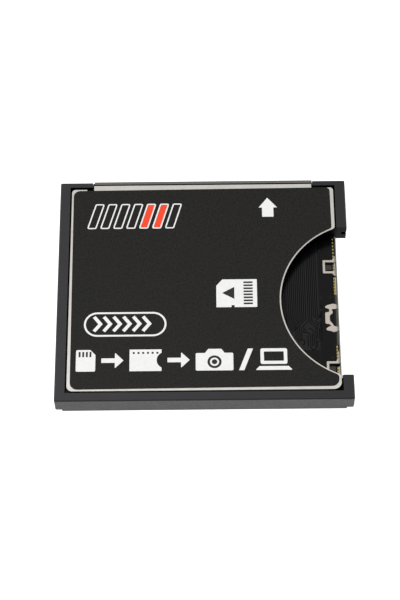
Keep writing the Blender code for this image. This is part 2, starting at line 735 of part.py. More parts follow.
def loop_tab(middle):
    """Flat outline of a loop tab: its two arms, flared towards the edge, and its end strip."""
    inner = MOUTH_OUTER - TAB_LENGTH
    root = MOUTH_OUTER - BEND_RADIUS
    half = LOOP_TAB_WIDTH / 2
    toe = half + TAB_FOOT
    heel = half - TAB_ARM
    foot = root - TAB_FOOT_LENGTH
    ankle = foot - TAB_FLARE
    right = [(root, -toe), (root, -heel), (inner + TAB_STRIP, -heel)]
    left = [(inner, -half + TAB_CORNER), (inner + TAB_CORNER, -half), (ankle, -half), (foot, -toe)]
    outline = right + [(x, -y) for x, y in reversed(right)]
    outline += [(x, -y) for x, y in reversed(left)] + left
    return [(x, middle + y) for x, y in outline]


def wide_tab():
    """Flat outline of the wide tab, from the line where its arms fold down."""
    root = MOUTH_OUTER - BEND_RADIUS
    fold = WIDE_TAB_EDGE[0][0]
    outline = []
    for share, offset in WIDE_TAB_EDGE:
        x = root if share == fold else MOUTH_OUTER - TAB_LENGTH * share
        outline.append((x, WIDE_TAB_CENTRE + WIDE_TAB_WIDTH * offset))
    return outline


def tab_plates():
    """Flat parts of the three tabs, on the board."""
    mesh = bmesh.new()
    for middle in LOOP_TAB_CENTRES:
        prism(mesh, loop_tab(middle), ON_BOARD, TAB_TOP)
    prism(mesh, wide_tab(), ON_BOARD, TAB_TOP)
    return mesh


def build_bottom_cover(steel):
    """Lower metal cover with its flanges bent up and three tabs folded over the board."""
    bend = MOUTH_OUTER - BEND_RADIUS
    mouth = [(COVER_RIGHT, MOUTH_REAR), (bend, MOUTH_REAR), (bend, MOUTH_FRONT), (COVER_RIGHT, MOUTH_FRONT)]
    mesh = bmesh.new()
    prism(mesh, cover_outline(mouth), BOTTOM_OUTER, BOTTOM_INNER)
    cover = make("bottom_cover", mesh, steel)
    join(cover, "flanges", flanges(BOTTOM_OUTER, BOTTOM_OUTER + FLANGE_DROP))
    join(cover, "mouth_flange", mouth_flange())
    join(cover, "tab_folds", tab_folds())
    join(cover, "tab_plates", tab_plates())
    cut(cover, "windows", flange_windows(window_levels()[1]))


def header_pegs():
    """Places of the two pegs under the header."""
    y = (HEADER_REAR + BOARD_FRONT) / 2
    x = HEADER_HALF_WIDTH - HEADER_PEG_INSET
    return ((-x, y), (x, y))


def comb_pegs():
    """Places of the two pegs under the contact comb."""
    x = (COMB_LEFT + COMB_RIGHT) / 2
    return ((x, COMB_REAR + COMB_PEG_INSET), (x, COMB_FRONT - COMB_PEG_INSET))


def build_board(mask):
    """Circuit board, which reaches into the card mouth and has four peg holes."""
    left = LEDGE_LEFT + BOARD_GAP
    right = LEDGE_RIGHT - BOARD_GAP
    rear = LEDGE_REAR + BOARD_GAP
    mouth = MOUTH_INNER - SEAT_GAP
    outline = [
        (left, rear), (right, rear),
        (right, MOUTH_REAR), (mouth, MOUTH_REAR),
        (mouth, MOUTH_FRONT), (right, MOUTH_FRONT),
        (right, BOARD_FRONT), (left, BOARD_FRONT),
    ]
    mesh = bmesh.new()
    prism(mesh, outline, BOARD_BOTTOM, BOARD_TOP)
    board = make("pcb", mesh, mask)
    holes = bmesh.new()
    for centre in header_pegs() + comb_pegs():
        disc(holes, centre, PEG_RADIUS + PEG_HOLE_GAP, BOARD_BOTTOM - OVERLAP, BOARD_TOP + OVERLAP, PEG_SIDES)
    cut(board, "peg_holes", holes)


def header_section():
    """Side section of the header: a step over the board, the body and the front lip."""
    c = LIP_CHAMFER
    return [
        (HEADER_REAR, ON_BOARD),
        (HEADER_STEP_FRONT, ON_BOARD),
        (HEADER_STEP_FRONT, BOARD_BOTTOM),
        (LIP_REAR, BOARD_BOTTOM),
        (LIP_REAR, 0),
        (FRONT - c, 0),
        (FRONT, c),
        (FRONT, CARD_THICKNESS - c),
        (FRONT - c, CARD_THICKNESS),
        (LIP_REAR, CARD_THICKNESS),
        (LIP_REAR, LEDGE_TOP),
        (HEADER_REAR, LEDGE_TOP),
    ]


def header_reliefs():
    """Shallow steps along both ends of the header's top, clear of the frame's shoulders."""
    mesh = bmesh.new()
    along = (HEADER_REAR - BEYOND, FRONT + BEYOND)
    level = (CARD_THICKNESS - HEADER_RELIEF_HEIGHT, CARD_THICKNESS + BEYOND)
    inner = HEADER_HALF_WIDTH - HEADER_RELIEF
    box(mesh, (inner, inner + BEYOND), along, level)
    box(mesh, (-inner - BEYOND, -inner), along, level)
    return mesh


def sockets():
    """Blind holes in the header's front face, in rows at the standard pitch."""
    mesh = bmesh.new()
    back = HEADER_STEP_FRONT + SOCKET_BACK_WALL
    for row in range(SOCKET_ROWS):
        z = CARD_THICKNESS / 2 + (row - (SOCKET_ROWS - 1) / 2) * SOCKET_PITCH
        for column in range(SOCKET_COLUMNS):
            x = (column - (SOCKET_COLUMNS - 1) / 2) * SOCKET_PITCH
            disc(mesh, (x, z), SOCKET_RADIUS, back, FRONT + BEYOND, SOCKET_SIDES, "Y")
    return mesh


def tails():
    """Soldered tails, one for each socket, that step down from the header onto the board."""
    mesh = bmesh.new()
    foot = HEADER_REAR - TAIL_REACH
    heel = HEADER_REAR - TAIL_REACH / 2
    shoulder = heel + TAIL_SLOPE
    root = HEADER_REAR + TAIL_ROOT
    low = ON_BOARD
    high = low + TAIL_RISE
    t = TAIL_THICKNESS
    section = [
        (foot, low), (heel, low), (shoulder, high), (root, high),
        (root, high + t), (shoulder - t / 2, high + t), (heel - t / 2, low + t), (foot, low + t),
    ]
    count = SOCKET_COLUMNS * SOCKET_ROWS
    for i in range(count):
        x = (i - (count - 1) / 2) * SOCKET_PITCH / SOCKET_ROWS
        prism(mesh, section, x - TAIL_WIDTH / 2, x + TAIL_WIDTH / 2, "X")
    return mesh


def pegs(places):
    """Short pegs that stand in the board's holes."""
    mesh = bmesh.new()
    for centre in places:
        disc(mesh, centre, PEG_RADIUS, ON_BOARD - PEG_LENGTH, ON_BOARD + OVERLAP, PEG_SIDES)
    return mesh


def build_header(plastic):
    """Socket header with its holes, a tail for each of them and two locating pegs."""
    mesh = bmesh.new()
    prism(mesh, header_section(), -HEADER_HALF_WIDTH, HEADER_HALF_WIDTH, "X")
    header = make("cf_header", mesh, plastic)
    cut(header, "reliefs", header_reliefs())
    cut(header, "sockets", sockets())
    join(header, "tails", tails())
    join(header, "pegs", pegs(header_pegs()))


def contact_rows():
    """Middle lines of the contacts, from the front of the slot to its rear."""
    rows = [SLOT_FRONT - FIRST_CONTACT_INSET]
    for i in range(1, CONTACT_COUNT):
        step = LAST_CONTACT_PITCH if i == CONTACT_COUNT - 1 else CONTACT_PITCH
        rows.append(rows[-1] - step)
    return rows


def build_comb(plastic):
    """Contact comb: a strip with a groove under it for each contact."""
    low = ON_BOARD
    high = TOP_INNER - COMB_TOP_GAP
    roof = low + COMB_GROOVE_HEIGHT
    half = CONTACT_WIDTH / 2 + COMB_GROOVE_GAP
    section = [(COMB_REAR, low)]
    for y in reversed(contact_rows()):
        section += [(y - half, low), (y - half, roof), (y + half, roof), (y + half, low)]
    section += [(COMB_FRONT, low), (COMB_FRONT, high), (COMB_REAR, high)]
    mesh = bmesh.new()
    prism(mesh, section, COMB_LEFT, COMB_RIGHT, "X")
    comb = make("sd_contact_comb", mesh, plastic)
    join(comb, "pegs", pegs(comb_pegs()))


def contact_section():
    """Side section of a spring contact: soldered tail, root in the comb, beam, crest and tip."""
    low = ON_BOARD
    root = low + COMB_GROOVE_HEIGHT / 2
    crest = COMB_RIGHT + CONTACT_BEAM
    line = [
        (COMB_LEFT - CONTACT_TAIL, low),
        (COMB_LEFT - COMB_GROOVE_HEIGHT / 2, low),
        (COMB_LEFT, root),
        (COMB_RIGHT, root),
        (crest - CONTACT_SHOULDER, low + CONTACT_CREST),
        (crest, low + CONTACT_CREST + CONTACT_THICKNESS / 2),
        (crest + CONTACT_SHOULDER, low + CONTACT_CREST),
        (crest + CONTACT_TIP, low + CONTACT_TIP_HEIGHT),
    ]
    return line + [(x, z + CONTACT_THICKNESS) for x, z in reversed(line)]


def build_contacts(gold):
    """Spring contacts that reach under the card."""
    section = contact_section()
    for number, y in enumerate(contact_rows(), start=1):
        mesh = bmesh.new()
        prism(mesh, section, y - CONTACT_WIDTH / 2, y + CONTACT_WIDTH / 2, "Y")
        make(f"sd_contact_{number}", mesh, gold)


def build_leaf(name, offset, metal):
    """Leaf spring in a pocket of the rear ledge, bowed towards the card, with a foot."""
    start = COMB_RIGHT + offset - LEAF_LENGTH / 2
    back = SLOT_REAR - LEAF_SETBACK
    line = []
    for i in range(LEAF_STEPS + 1):
        part = i / LEAF_STEPS
        bow = (LEAF_SETBACK + LEAF_BOW) * math.sin(math.pi * part)
        line.append((start + LEAF_LENGTH * part, back + bow))
    outline = line + [(x, y + LEAF_THICKNESS) for x, y in reversed(line)]
    low = ON_BOARD + LEAF_FOOT_HEIGHT
    mesh = bmesh.new()
    prism(mesh, outline, low, low + LEAF_HEIGHT)
    leaf = make(name, mesh, metal)
    foot = bmesh.new()
    box(
        foot,
        (start, start + LEAF_FOOT_LENGTH),
        (back - LEAF_THICKNESS, back + LEAF_THICKNESS),
        (ON_BOARD, low + OVERLAP),
    )
    join(leaf, "foot", foot)


def chamfered(mesh, x, y, z, chamfer):
    """Add a block whose upper edges are chamfered."""
    lower = rectangle(x[0], x[1], y[0], y[1])
    upper = rectangle(x[0] + chamfer, x[1] - chamfer, y[0] + chamfer, y[1] - chamfer)
    skin(mesh, [(z[0], lower), (z[1] - chamfer, lower), (z[1], upper)])


def chip_rows():
    """Rows of chips with their middle line, evenly spaced from the slot's front to its rear."""
    regulator_span = REGULATOR_WIDTH + 2 * REGULATOR_LEAD
    rows = [
        ("capacitors", CAPACITOR_WIDTH),
        ("crystal", CRYSTAL_WIDTH),
        ("resistors", RESISTOR_WIDTH),
        ("controller", CONTROLLER_SIDE),
        ("capacitors", CAPACITOR_WIDTH),
        ("regulator", regulator_span),
        ("capacitors", CAPACITOR_WIDTH),
        ("resistors", RESISTOR_WIDTH),
        ("capacitors", CAPACITOR_WIDTH),
    ]
    free = SLOT_WIDTH - 2 * CHIP_END_MARGIN - sum(depth for _, depth in rows)
    gap = free / (len(rows) - 1)
    edge = SLOT_FRONT - CHIP_END_MARGIN
    placed = []
    for kind, depth in rows:
        placed.append((kind, edge - depth / 2))
        edge -= depth + gap
    return placed


def build_controller(y, epoxy):
    """Leadless controller chip with lands along its four lower edges."""
    half = CONTROLLER_SIDE / 2
    x = CHIP_X
    mesh = bmesh.new()
    top = ON_BOARD + CONTROLLER_HEIGHT
    chamfered(mesh, (x - half, x + half), (y - half, y + half), (ON_BOARD, top), CHIP_CHAMFER)
    chip = make("controller_chip", mesh, epoxy)
    lands = bmesh.new()
    level = (ON_BOARD, ON_BOARD + LAND_HEIGHT)
    for middle in spread(-LAND_PITCH * LANDS_PER_SIDE / 2, LAND_PITCH * LANDS_PER_SIDE / 2, LANDS_PER_SIDE):
        low, high = middle - LAND_WIDTH / 2, middle + LAND_WIDTH / 2
        for side in (-1, 1):
            ends = sorted((side * (half + LAND_PROUD), side * (half - OVERLAP)))
            box(lands, (x + ends[0], x + ends[1]), (y + low, y + high), level)
            box(lands, (x + low, x + high), (y + ends[0], y + ends[1]), level)
    join(chip, "lands", lands)


def build_regulator(y, epoxy):
    """Voltage regulator in a small five-lead case that stands just off the board."""
    half = REGULATOR_WIDTH / 2
    along = (CHIP_X - REGULATOR_LENGTH / 2, CHIP_X + REGULATOR_LENGTH / 2)
    low = ON_BOARD + REGULATOR_STAND
    mesh = bmesh.new()
    chamfered(mesh, along, (y - half, y + half), (low, ON_BOARD + REGULATOR_HEIGHT), CHIP_CHAMFER)
    case = make("voltage_regulator", mesh, epoxy)
    leads = bmesh.new()
    level = (ON_BOARD, low + TAIL_THICKNESS)
    for side, columns in ((-1, (-1, 0, 1)), (1, (-1, 1))):
        ends = sorted((side * (half - OVERLAP), side * (half + REGULATOR_LEAD)))
        for column in columns:
            middle = CHIP_X + column * REGULATOR_LEAD_PITCH
            reach = (middle - REGULATOR_LEAD_WIDTH / 2, middle + REGULATOR_LEAD_WIDTH / 2)
            box(leads, reach, (y + ends[0], y + ends[1]), level)
    join(case, "leads", leads)


def build_crystal(y, steel):
    """Crystal in a flat can: a base with a set-back lid."""
    x0, x1 = CHIP_X - CRYSTAL_LENGTH / 2, CHIP_X + CRYSTAL_LENGTH / 2
    y0, y1 = y - CRYSTAL_WIDTH / 2, y + CRYSTAL_WIDTH / 2
    inset = CRYSTAL_LID_INSET
    step = ON_BOARD + CRYSTAL_BASE
    base = rounded(x0, x1, y0, y1, CRYSTAL_RADIUS)
    lid = rounded(x0 + inset, x1 - inset, y0 + inset, y1 - inset, CRYSTAL_RADIUS)
    mesh = bmesh.new()
    skin(mesh, [(ON_BOARD, base), (step, base), (step, lid), (step + CRYSTAL_LID, lid)])
    make("crystal", mesh, steel)


def build_two_ended(name, size, middle, body):
    """Small two-ended component: a block with slightly larger end caps."""
    length, width, height = size
    x0, x1 = middle[0] - length / 2, middle[0] + length / 2
    y0, y1 = middle[1] - width / 2, middle[1] + width / 2
    proud = END_CAP_PROUD
    cap = rectangle(y0, y1, ON_BOARD, ON_BOARD + height)
    waist = rectangle(y0 + proud, y1 - proud, ON_BOARD + proud, ON_BOARD + height - proud)
    layers = [(x0, cap), (x0 + END_CAP, cap), (x0 + END_CAP, waist), (x1 - END_CAP, waist)]
    layers += [(x1 - END_CAP, cap), (x1, cap)]
    mesh = bmesh.new()
    skin(mesh, layers, "X")
    make(name, mesh, body)


def row_places(length, gap, count):
    """Middle points of equal components side by side across the chip room."""
    pitch = length + gap
    return spread(CHIP_X - pitch * count / 2, CHIP_X + pitch * count / 2, count)


def build_chips(epoxy, steel, ceramic, resistor_film):
    """Controller, regulator, crystal and the small components around them."""
    capacitor = (CAPACITOR_LENGTH, CAPACITOR_WIDTH, CAPACITOR_WIDTH)
    resistor = (RESISTOR_LENGTH, RESISTOR_WIDTH, RESISTOR_HEIGHT)
    capacitors = 0
    resistors = 0
    for kind, y in chip_rows():
        if kind == "controller":
            build_controller(y, epoxy)
        elif kind == "regulator":
            build_regulator(y, epoxy)
        elif kind == "crystal":
            build_crystal(y, steel)
        elif kind == "capacitors":
            for x in row_places(CAPACITOR_LENGTH, CAPACITOR_SIDE_GAP, CAPACITORS_PER_ROW):
                capacitors += 1
                build_two_ended(f"capacitor_{capacitors}", capacitor, (x, y), ceramic)
        else:
            for x in row_places(RESISTOR_LENGTH, RESISTOR_SIDE_GAP, RESISTORS_PER_ROW):
                resistors += 1
                build_two_ended(f"resistor_{resistors}", resistor, (x, y), resistor_film)


def build():
    """Make every piece of the adapter."""
    clear_scene()
    black_plastic = finish("black_plastic", (0.045, 0.045, 0.05), 0.55)
    grey_plastic = finish("grey_plastic", (0.11, 0.11, 0.12), 0.6)
    steel = finish("stainless_sheet", (0.62, 0.6, 0.57), 0.35, 1.0)
    film = finish("label_film", (0.018, 0.018, 0.017), 0.5)
    mask = finish("solder_mask", (0.012, 0.014, 0.017), 0.4)
    gold = finish("gold_plating", (0.83, 0.62, 0.25), 0.3, 1.0)
    epoxy = finish("chip_epoxy", (0.03, 0.03, 0.032), 0.6)
    ceramic = finish("capacitor_ceramic", (0.45, 0.33, 0.22), 0.5)
    resistor_film = finish("resistor_film", (0.02, 0.02, 0.025), 0.4)
    build_frame(black_plastic)
    build_top_cover(steel)
    build_label(film)
    build_bottom_cover(steel)
    build_board(mask)
    build_header(grey_plastic)
    build_comb(black_plastic)
    build_contacts(gold)
    build_leaf("card_detect_spring", CARD_DETECT_PLACE, gold)
    build_leaf("write_protect_spring", WRITE_PROTECT_PLACE, gold)
    build_chips(epoxy, steel, ceramic, resistor_film)


build()
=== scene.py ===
"""Dressed model of a memory card adapter: a thin socket card that takes a full-size memory card.

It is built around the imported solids, in the same frame: +X is the side where the memory card
goes in, +Y the edge with the sockets, +Z up through the printed label. Drawings are in
millimetres and are turned into metres where a mesh is made.
"""

import math

import bmesh
import bpy
from bpy.props import FloatProperty, FloatVectorProperty, IntProperty, PointerProperty
from mathutils import Matrix, Vector


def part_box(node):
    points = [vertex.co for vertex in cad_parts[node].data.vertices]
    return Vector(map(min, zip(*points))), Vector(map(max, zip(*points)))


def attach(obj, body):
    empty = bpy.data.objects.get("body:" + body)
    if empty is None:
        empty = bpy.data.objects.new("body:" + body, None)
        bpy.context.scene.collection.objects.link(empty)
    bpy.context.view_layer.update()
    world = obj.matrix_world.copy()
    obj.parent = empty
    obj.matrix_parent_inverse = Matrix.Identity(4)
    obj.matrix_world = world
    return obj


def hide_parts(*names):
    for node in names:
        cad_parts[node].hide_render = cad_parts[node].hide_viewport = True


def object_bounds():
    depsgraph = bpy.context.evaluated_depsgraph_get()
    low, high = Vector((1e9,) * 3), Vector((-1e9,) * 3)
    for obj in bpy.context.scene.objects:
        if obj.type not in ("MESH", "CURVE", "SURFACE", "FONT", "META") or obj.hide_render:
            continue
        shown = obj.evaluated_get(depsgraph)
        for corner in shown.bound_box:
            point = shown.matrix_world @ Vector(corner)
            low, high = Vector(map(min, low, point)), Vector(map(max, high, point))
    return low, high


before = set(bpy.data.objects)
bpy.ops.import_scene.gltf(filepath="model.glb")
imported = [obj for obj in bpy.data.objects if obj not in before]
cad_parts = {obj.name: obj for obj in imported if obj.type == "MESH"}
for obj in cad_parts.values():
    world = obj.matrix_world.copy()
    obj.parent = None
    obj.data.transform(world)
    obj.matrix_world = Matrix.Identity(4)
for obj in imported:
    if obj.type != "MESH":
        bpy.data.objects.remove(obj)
cad_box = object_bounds()

bl_info = {
    "name": "Memory card adapter",
    "version": (1, 0, 0),
    "blender": (4, 5, 0),
    "location": "3D View > Sidebar > Adapter",
    "description": "Dresses the solids of a memory card adapter with its fine parts, print and finishes",
    "category": "Object",
}

MM = 0.001

# Photograph: the camera fitted to it, in millimetres, degrees and pixels
CAMERA_AIM = (-0.5399, -0.3816, 0.0)
CAMERA_DISTANCE = 276.0235
CAMERA_AZIMUTH = 0.612
CAMERA_ELEVATION = 62.0399
CAMERA_ROLL = -1.1003
CAMERA_FOCAL = 1866.7463
PHOTO_HEIGHT = 600
FILM_WIDTH = 36.0

# Studio: where the sky is brightest, the levels it runs between, and the softbox and the floor's
# reach in metres
BRIGHT_SKY = (-0.1, 0.5, 0.86)
DUSK_LEVEL = -0.15
SKY_LEVEL = 0.7
KEY_PLACE = (-0.13, -0.06, 0.51)
KEY_SIDE = 0.2
FLOOR_REACH = 1.2

# Places on the solids, in millimetres: read from their boxes, or written as the solids have them
LABEL_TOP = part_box("top_label")[1].z / MM
BOARD_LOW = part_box("pcb")[0] / MM
BOARD_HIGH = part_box("pcb")[1] / MM
HEADER_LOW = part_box("cf_header")[0] / MM
HEADER_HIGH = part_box("cf_header")[1] / MM
RIGHT_SIDE = cad_box[1].x / MM
THICKNESS = HEADER_HIGH.z
LEDGE_LOW, LEDGE_TOP = 0.28, 3.02
POCKET_SIDES, POCKET_ENDS = (-19.9, 19.85), (-16.9, 17.25)
ON_BOARD = BOARD_HIGH.z + 0.03
MOUTH_REAR, MOUTH_FRONT = -14.2, 9.7
MOUTH_FOLD = BOARD_HIGH.x - 0.27
NOTCH_APEX = 11.3

# Header, as the photograph shows it: back of its lip, and the shallow reliefs at its ends
LIP_BACK = 17.71
HEADER_RELIEFS = (0.22, 0.06)
HEADER_RELIEF_HEIGHT = 0.5


def colour(name, value, text):
    """A colour setting."""
    return FloatVectorProperty(
        name=name, description=text, subtype="COLOR", size=3, min=0, max=1, default=value
    )


def length(name, value, text):
    """A length setting."""
    text += ", in millimetres"
    return FloatProperty(name=name, description=text, default=value, min=0, precision=3)


def share(name, value, text):
    """A setting from 0 to 1."""
    return FloatProperty(name=name, description=text, default=value, min=0, max=1, subtype="FACTOR")


class AdapterSizes(bpy.types.PropertyGroup):
    """Sizes of the fine parts."""

    ink: length("Ink", 0.008, "Thickness of the printed ink")
    ink_sink: length("Ink sink", 0.002, "Depth of the ink in the film")
    track_width: length("Track width", 0.11, "Width of a copper track")
    track_pitch: length("Track pitch", 0.28, "Distance between tracks")
    track_height: length("Track height", 0.014, "Height of a track under the mask")
    moulded_edge: length("Moulded edge", 0.05, "Rounding of moulded edges")
    sheet_edge: length("Sheet edge", 0.018, "Rounding of sheared sheet edges")
    chip_edge: length("Chip edge", 0.02, "Rounding of chip edges")
    socket_radius: length("Socket radius", 0.33, "Radius of the holes in the header")
    socket_flare: length("Socket flare", 0.1, "Lead-in around each hole")
    socket_pitch: length("Socket pitch", 1.27, "Distance between the holes")
    socket_columns: IntProperty(name="Socket columns", description="Holes in each row", default=25, min=1)


class AdapterFinishes(bpy.types.PropertyGroup):
    """Colours and roughness of the finishes."""

    plastic: colour("Plastic", (0.0152, 0.0152, 0.0175), "Moulded black plastic")
    plastic_roughness: share("Plastic roughness", 0.47, "Roughness of the moulded plastic")
    header: colour("Header", (0.112, 0.106, 0.1), "Moulded grey plastic of the header")
    film: colour("Film", (0.0045, 0.0044, 0.004), "Black film of the label")
    film_roughness: share("Film roughness", 0.5, "Roughness of the label film")
    white_ink: colour("White ink", (0.95, 0.95, 0.93), "White print")
    red_ink: colour("Red ink", (1.0, 0.056, 0.005), "Red print")
    steel: colour("Steel", (0.86, 0.83, 0.78), "Stainless sheet")
    # Darker than the top cover's steel: partly duller sheet, partly painted shade of the tabs deep in the
    # notch
    formed: colour("Formed steel", (0.66, 0.6, 0.53), "Duller sheet of the bottom cover and its tabs")
    steel_roughness: share("Steel roughness", 0.34, "Roughness of the sheet")
    mask: colour("Mask", (0.0014, 0.0015, 0.0016), "Black solder mask on the board")
    covered_copper: colour("Covered copper", (0.03, 0.028, 0.026), "Solder mask over copper")
    # Painted shade over the bend of the sheet at the card mouth, where the fold turns away from the light
    fold_shade: colour("Sheared steel", (0.32, 0.31, 0.28), "Dull folds of the sheet")
    # Darker than the sheet: partly the dull cut metal, partly painted shade on the notch's edge, which
    # faces away from the light
    cut_edge: colour("Cut edge", (0.16, 0.156, 0.143), "Cut edge of the thumb notch")
    laminate: colour("Laminate", (0.045, 0.05, 0.034), "Bare edge of the board")
    gold: colour("Gold", (0.95, 0.72, 0.3), "Gold plating")
    old_gold: colour("Old gold", (0.6, 0.5, 0.15), "Thin dull gold at the board's edge")
    tin: colour("Tin", (0.72, 0.72, 0.74), "Tinned metal and solder")
    epoxy: colour("Epoxy", (0.02, 0.02, 0.021), "Moulded chip cases")
    ceramic: colour("Ceramic", (0.36, 0.24, 0.14), "Capacitor bodies")
    resistor: colour("Resistor", (0.012, 0.012, 0.014), "Resistor film")


class AdapterStage(bpy.types.PropertyGroup):
    """Floor and light."""

    floor: colour("Floor", (0.5, 0.5, 0.5), "Plain pale floor")
    glow: FloatProperty(name="Glow", description="Light from under the floor", default=1.03, min=0)
    sky: FloatProperty(name="Sky", description="Light from above and behind", default=0.62, min=0)
    dusk: FloatProperty(name="Dusk", description="Light from low in front", default=0.12, min=0)
    key: FloatProperty(name="Key", description="Power of the softbox", default=1.4, min=0, unit="POWER")


def sizes():
    """The sizes of the fine parts."""
    return bpy.context.scene.adapter_sizes


def finishes():
    """The colours and roughness values."""
    return bpy.context.scene.adapter_finishes


def configure(target, **values):
    """Set several properties of something."""
    for name, value in values.items():
        setattr(target, name, value)
    return target


# Outlines, all in millimetres and counterclockwise


def arc(centre, radius, start, end, steps):
    """Points on an arc, angles in degrees, both ends included."""
    angles = [math.radians(start + (end - start) * i / steps) for i in range(steps + 1)]
    return [(centre[0] + radius * math.cos(a), centre[1] + radius * math.sin(a)) for a in angles]


def rectangle(x0, x1, y0, y1):
    """Rectangle with square corners."""
    return [(x0, y0), (x1, y0), (x1, y1), (x0, y1)]


def rounded(x0, x1, y0, y1, radius, steps=6):
    """Rectangle with round corners."""
    points = []
    middles = rectangle(x0 + radius, x1 - radius, y0 + radius, y1 - radius)
    for middle, start in zip(middles, (180, 270, 0, 90)):
        points += arc(middle, radius, start, start + 90, steps)
    return points


def circle(x, y, radius, steps=32):
    """Full circle."""
    return arc((x, y), radius, 0, 360 - 360 / steps, steps - 1)


def corners(outline):
    """Each point of an outline, between the one before and the one after it."""
    points = [Vector(point) for point in outline]
    return zip(points[-1:] + points[:-1], points, points[1:] + points[:1])


# Least cosine of half a corner's turn: sharper corners are not mitred to their full length
SHARPEST_MITRE = 0.3


def mitre(first, second):
    """Step to the left of a corner between two ways, for lines that are set off by one."""
    first, second = first.normalized(), second.normalized()
    left = Vector((-first.y, first.x))
    middle = (left + Vector((-second.y, second.x))).normalized()
    return middle / max(SHARPEST_MITRE, middle.dot(left))


def inset(outline, distance):
    """Outline moved inwards by a distance, with mitred corners."""
    return [
        tuple(here + mitre(here - before, after - here) * distance)
        for before, here, after in corners(outline)
    ]


def softened(outline, radius, steps=4):
    """Polygon with its corners rounded."""
    points = []
    for before, here, after in corners(outline):
        back = (before - here).normalized()
        ahead = (after - here).normalized()
        half = math.acos(max(-1.0, min(1.0, back.dot(ahead)))) / 2
        reach = min(radius / math.tan(half), (before - here).length * 0.45, (after - here).length * 0.45)
        start, end = here + back * reach, here + ahead * reach
        for k in range(steps + 1):
            t = k / steps
            points.append(tuple(start * (1 - t) ** 2 + here * 2 * t * (1 - t) + end * t ** 2))
    return points


def ribbon(path, width, shift=0.0):
    """Outline of a line of some width along a path, set off to its left by shift."""
    points = [Vector(point) for point in path]
    ways = [after - here for here, after in zip(points, points[1:])]
    steps = [mitre(*pair) for pair in zip(ways[:1] + ways, ways + ways[-1:])]
    right, left = (
        [tuple(here + step * (shift + edge)) for here, step in zip(points, steps)]
        for edge in (-width / 2, width / 2)
    )
    return right + left[::-1]


# Meshes


def turned(axis, u, v, w):
    """Outline coordinates and a position along the axis as x, y, z in metres."""
    if axis == "X":
        return (w * MM, u * MM, v * MM)
    if axis == "Y":
        return (u * MM, w * MM, v * MM)
    return (u * MM, v * MM, w * MM)


def rings_of(mesh, layers, axis):
    """Rings of vertices, one for each (position, outline)."""
    return [[mesh.verts.new(turned(axis, u, v, w)) for u, v in outline] for w, outline in layers]


def bridge(mesh, low, high):
    """Faces between two rings."""
    for i in range(len(low)):
        j = (i + 1) % len(low)
        mesh.faces.new((low[i], low[j], high[j], high[i]))


def skin(mesh, layers, axis="Z"):
    """Solid through layers of (position, outline), closed at both ends."""
    rings = rings_of(mesh, layers, axis)
    for low, high in zip(rings, rings[1:]):
        bridge(mesh, low, high)
    mesh.faces.new(rings[0][::-1])
    mesh.faces.new(rings[-1])


def prism(mesh, outline, low, high, axis="Z"):
    """Straight solid between two positions."""
    skin(mesh, [(low, outline), (high, outline)], axis)


def hoop(mesh, outer, inner, low, high, axis="Z"):
    """Closed ring between two outlines of as many points each."""
    rings = rings_of(mesh, ((low, outer), (high, outer), (high, inner), (low, inner)), axis)
    for a, b in zip(rings, rings[1:] + rings[:1]):
        bridge(mesh, a, b)


def place_object(name, data):
    """Object in the scene, from its data."""
    made = bpy.data.objects.new(name, data)
    bpy.context.scene.collection.objects.link(made)
    return made


def new_object(name, mesh):
    """Object from a mesh, with its faces pointing out."""
    bmesh.ops.recalc_face_normals(mesh, faces=mesh.faces)
    data = bpy.data.meshes.new(name)
    mesh.to_mesh(data)
    mesh.free()
    return place_object(name, data)


def piece(name, mesh, finish_name, slot, *replaced):
    """A finished piece of the adapter, riding with the adapter."""
    made = mesh if isinstance(mesh, bpy.types.Object) else new_object(name, mesh)
    made.data.name = name
    made.data.materials.append(finish(finish_name))
    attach(made, "root")
    if replaced:
        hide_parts(*replaced)
    return made


def subtract(name, base, cutter):
    """The base mesh less the cutter mesh, as a new object."""
    whole = new_object(name, base)
    tool = new_object(name + "_tool", cutter)
    cut = whole.modifiers.new("cut", "BOOLEAN")
    configure(cut, operation="DIFFERENCE", solver="EXACT", object=tool)
    graph = bpy.context.evaluated_depsgraph_get()
    data = bpy.data.meshes.new_from_object(whole.evaluated_get(graph))
    whole.modifiers.clear()
    old = whole.data
    whole.data = data
    bpy.data.meshes.remove(old)
    bpy.data.objects.remove(tool)
    return whole


# Angles between faces that count as flat, and as a sharp edge
FLAT_WITHIN = math.radians(0.4)
SHARP_FROM = math.radians(35)


def soften_edges(made, width, segments):
    """Round the sharp edges a little and keep the flat faces flat."""
    flat = made.modifiers.new("flat", "DECIMATE")
    configure(flat, decimate_type="DISSOLVE", angle_limit=FLAT_WITHIN, delimit={"NORMAL", "MATERIAL"})
    bevel = made.modifiers.new("edges", "BEVEL")
    configure(bevel, width=width * MM, segments=segments, limit_method="ANGLE", angle_limit=SHARP_FROM)
    for polygon in made.data.polygons:
        polygon.use_smooth = True
    made.modifiers.new("normals", "WEIGHTED_NORMAL").weight = 100


# Shader effects, each a node group that is made once


def feed(socket, value):
    """Link a socket to another one, or set it to a plain value."""
    if isinstance(value, bpy.types.NodeSocket):
        socket.id_data.links.new(value, socket)
    else:
        socket.default_value = value


def fill(node, **values):
    """Feed sockets of a node by their labels, where an underscore stands for a space."""
    for label, value in values.items():
        feed(node.inputs[label.replace("_", " ")], value)
    return node


def add_node(tree, kind, **values):
    """Shader node with some of its sockets fed."""
    return fill(tree.nodes.new("ShaderNode" + kind), **values)


def maths(tree, operation, first, second, kind="Math"):
    """Outputs of a math node."""
    node = configure(add_node(tree, kind), operation=operation)
    feed(node.inputs[0], first)
    feed(node.inputs[1], second)
    return node.outputs


def vector_maths(tree, operation, first, second):
    """Outputs of a math node for vectors."""
    return maths(tree, operation, first, second, "VectorMath")


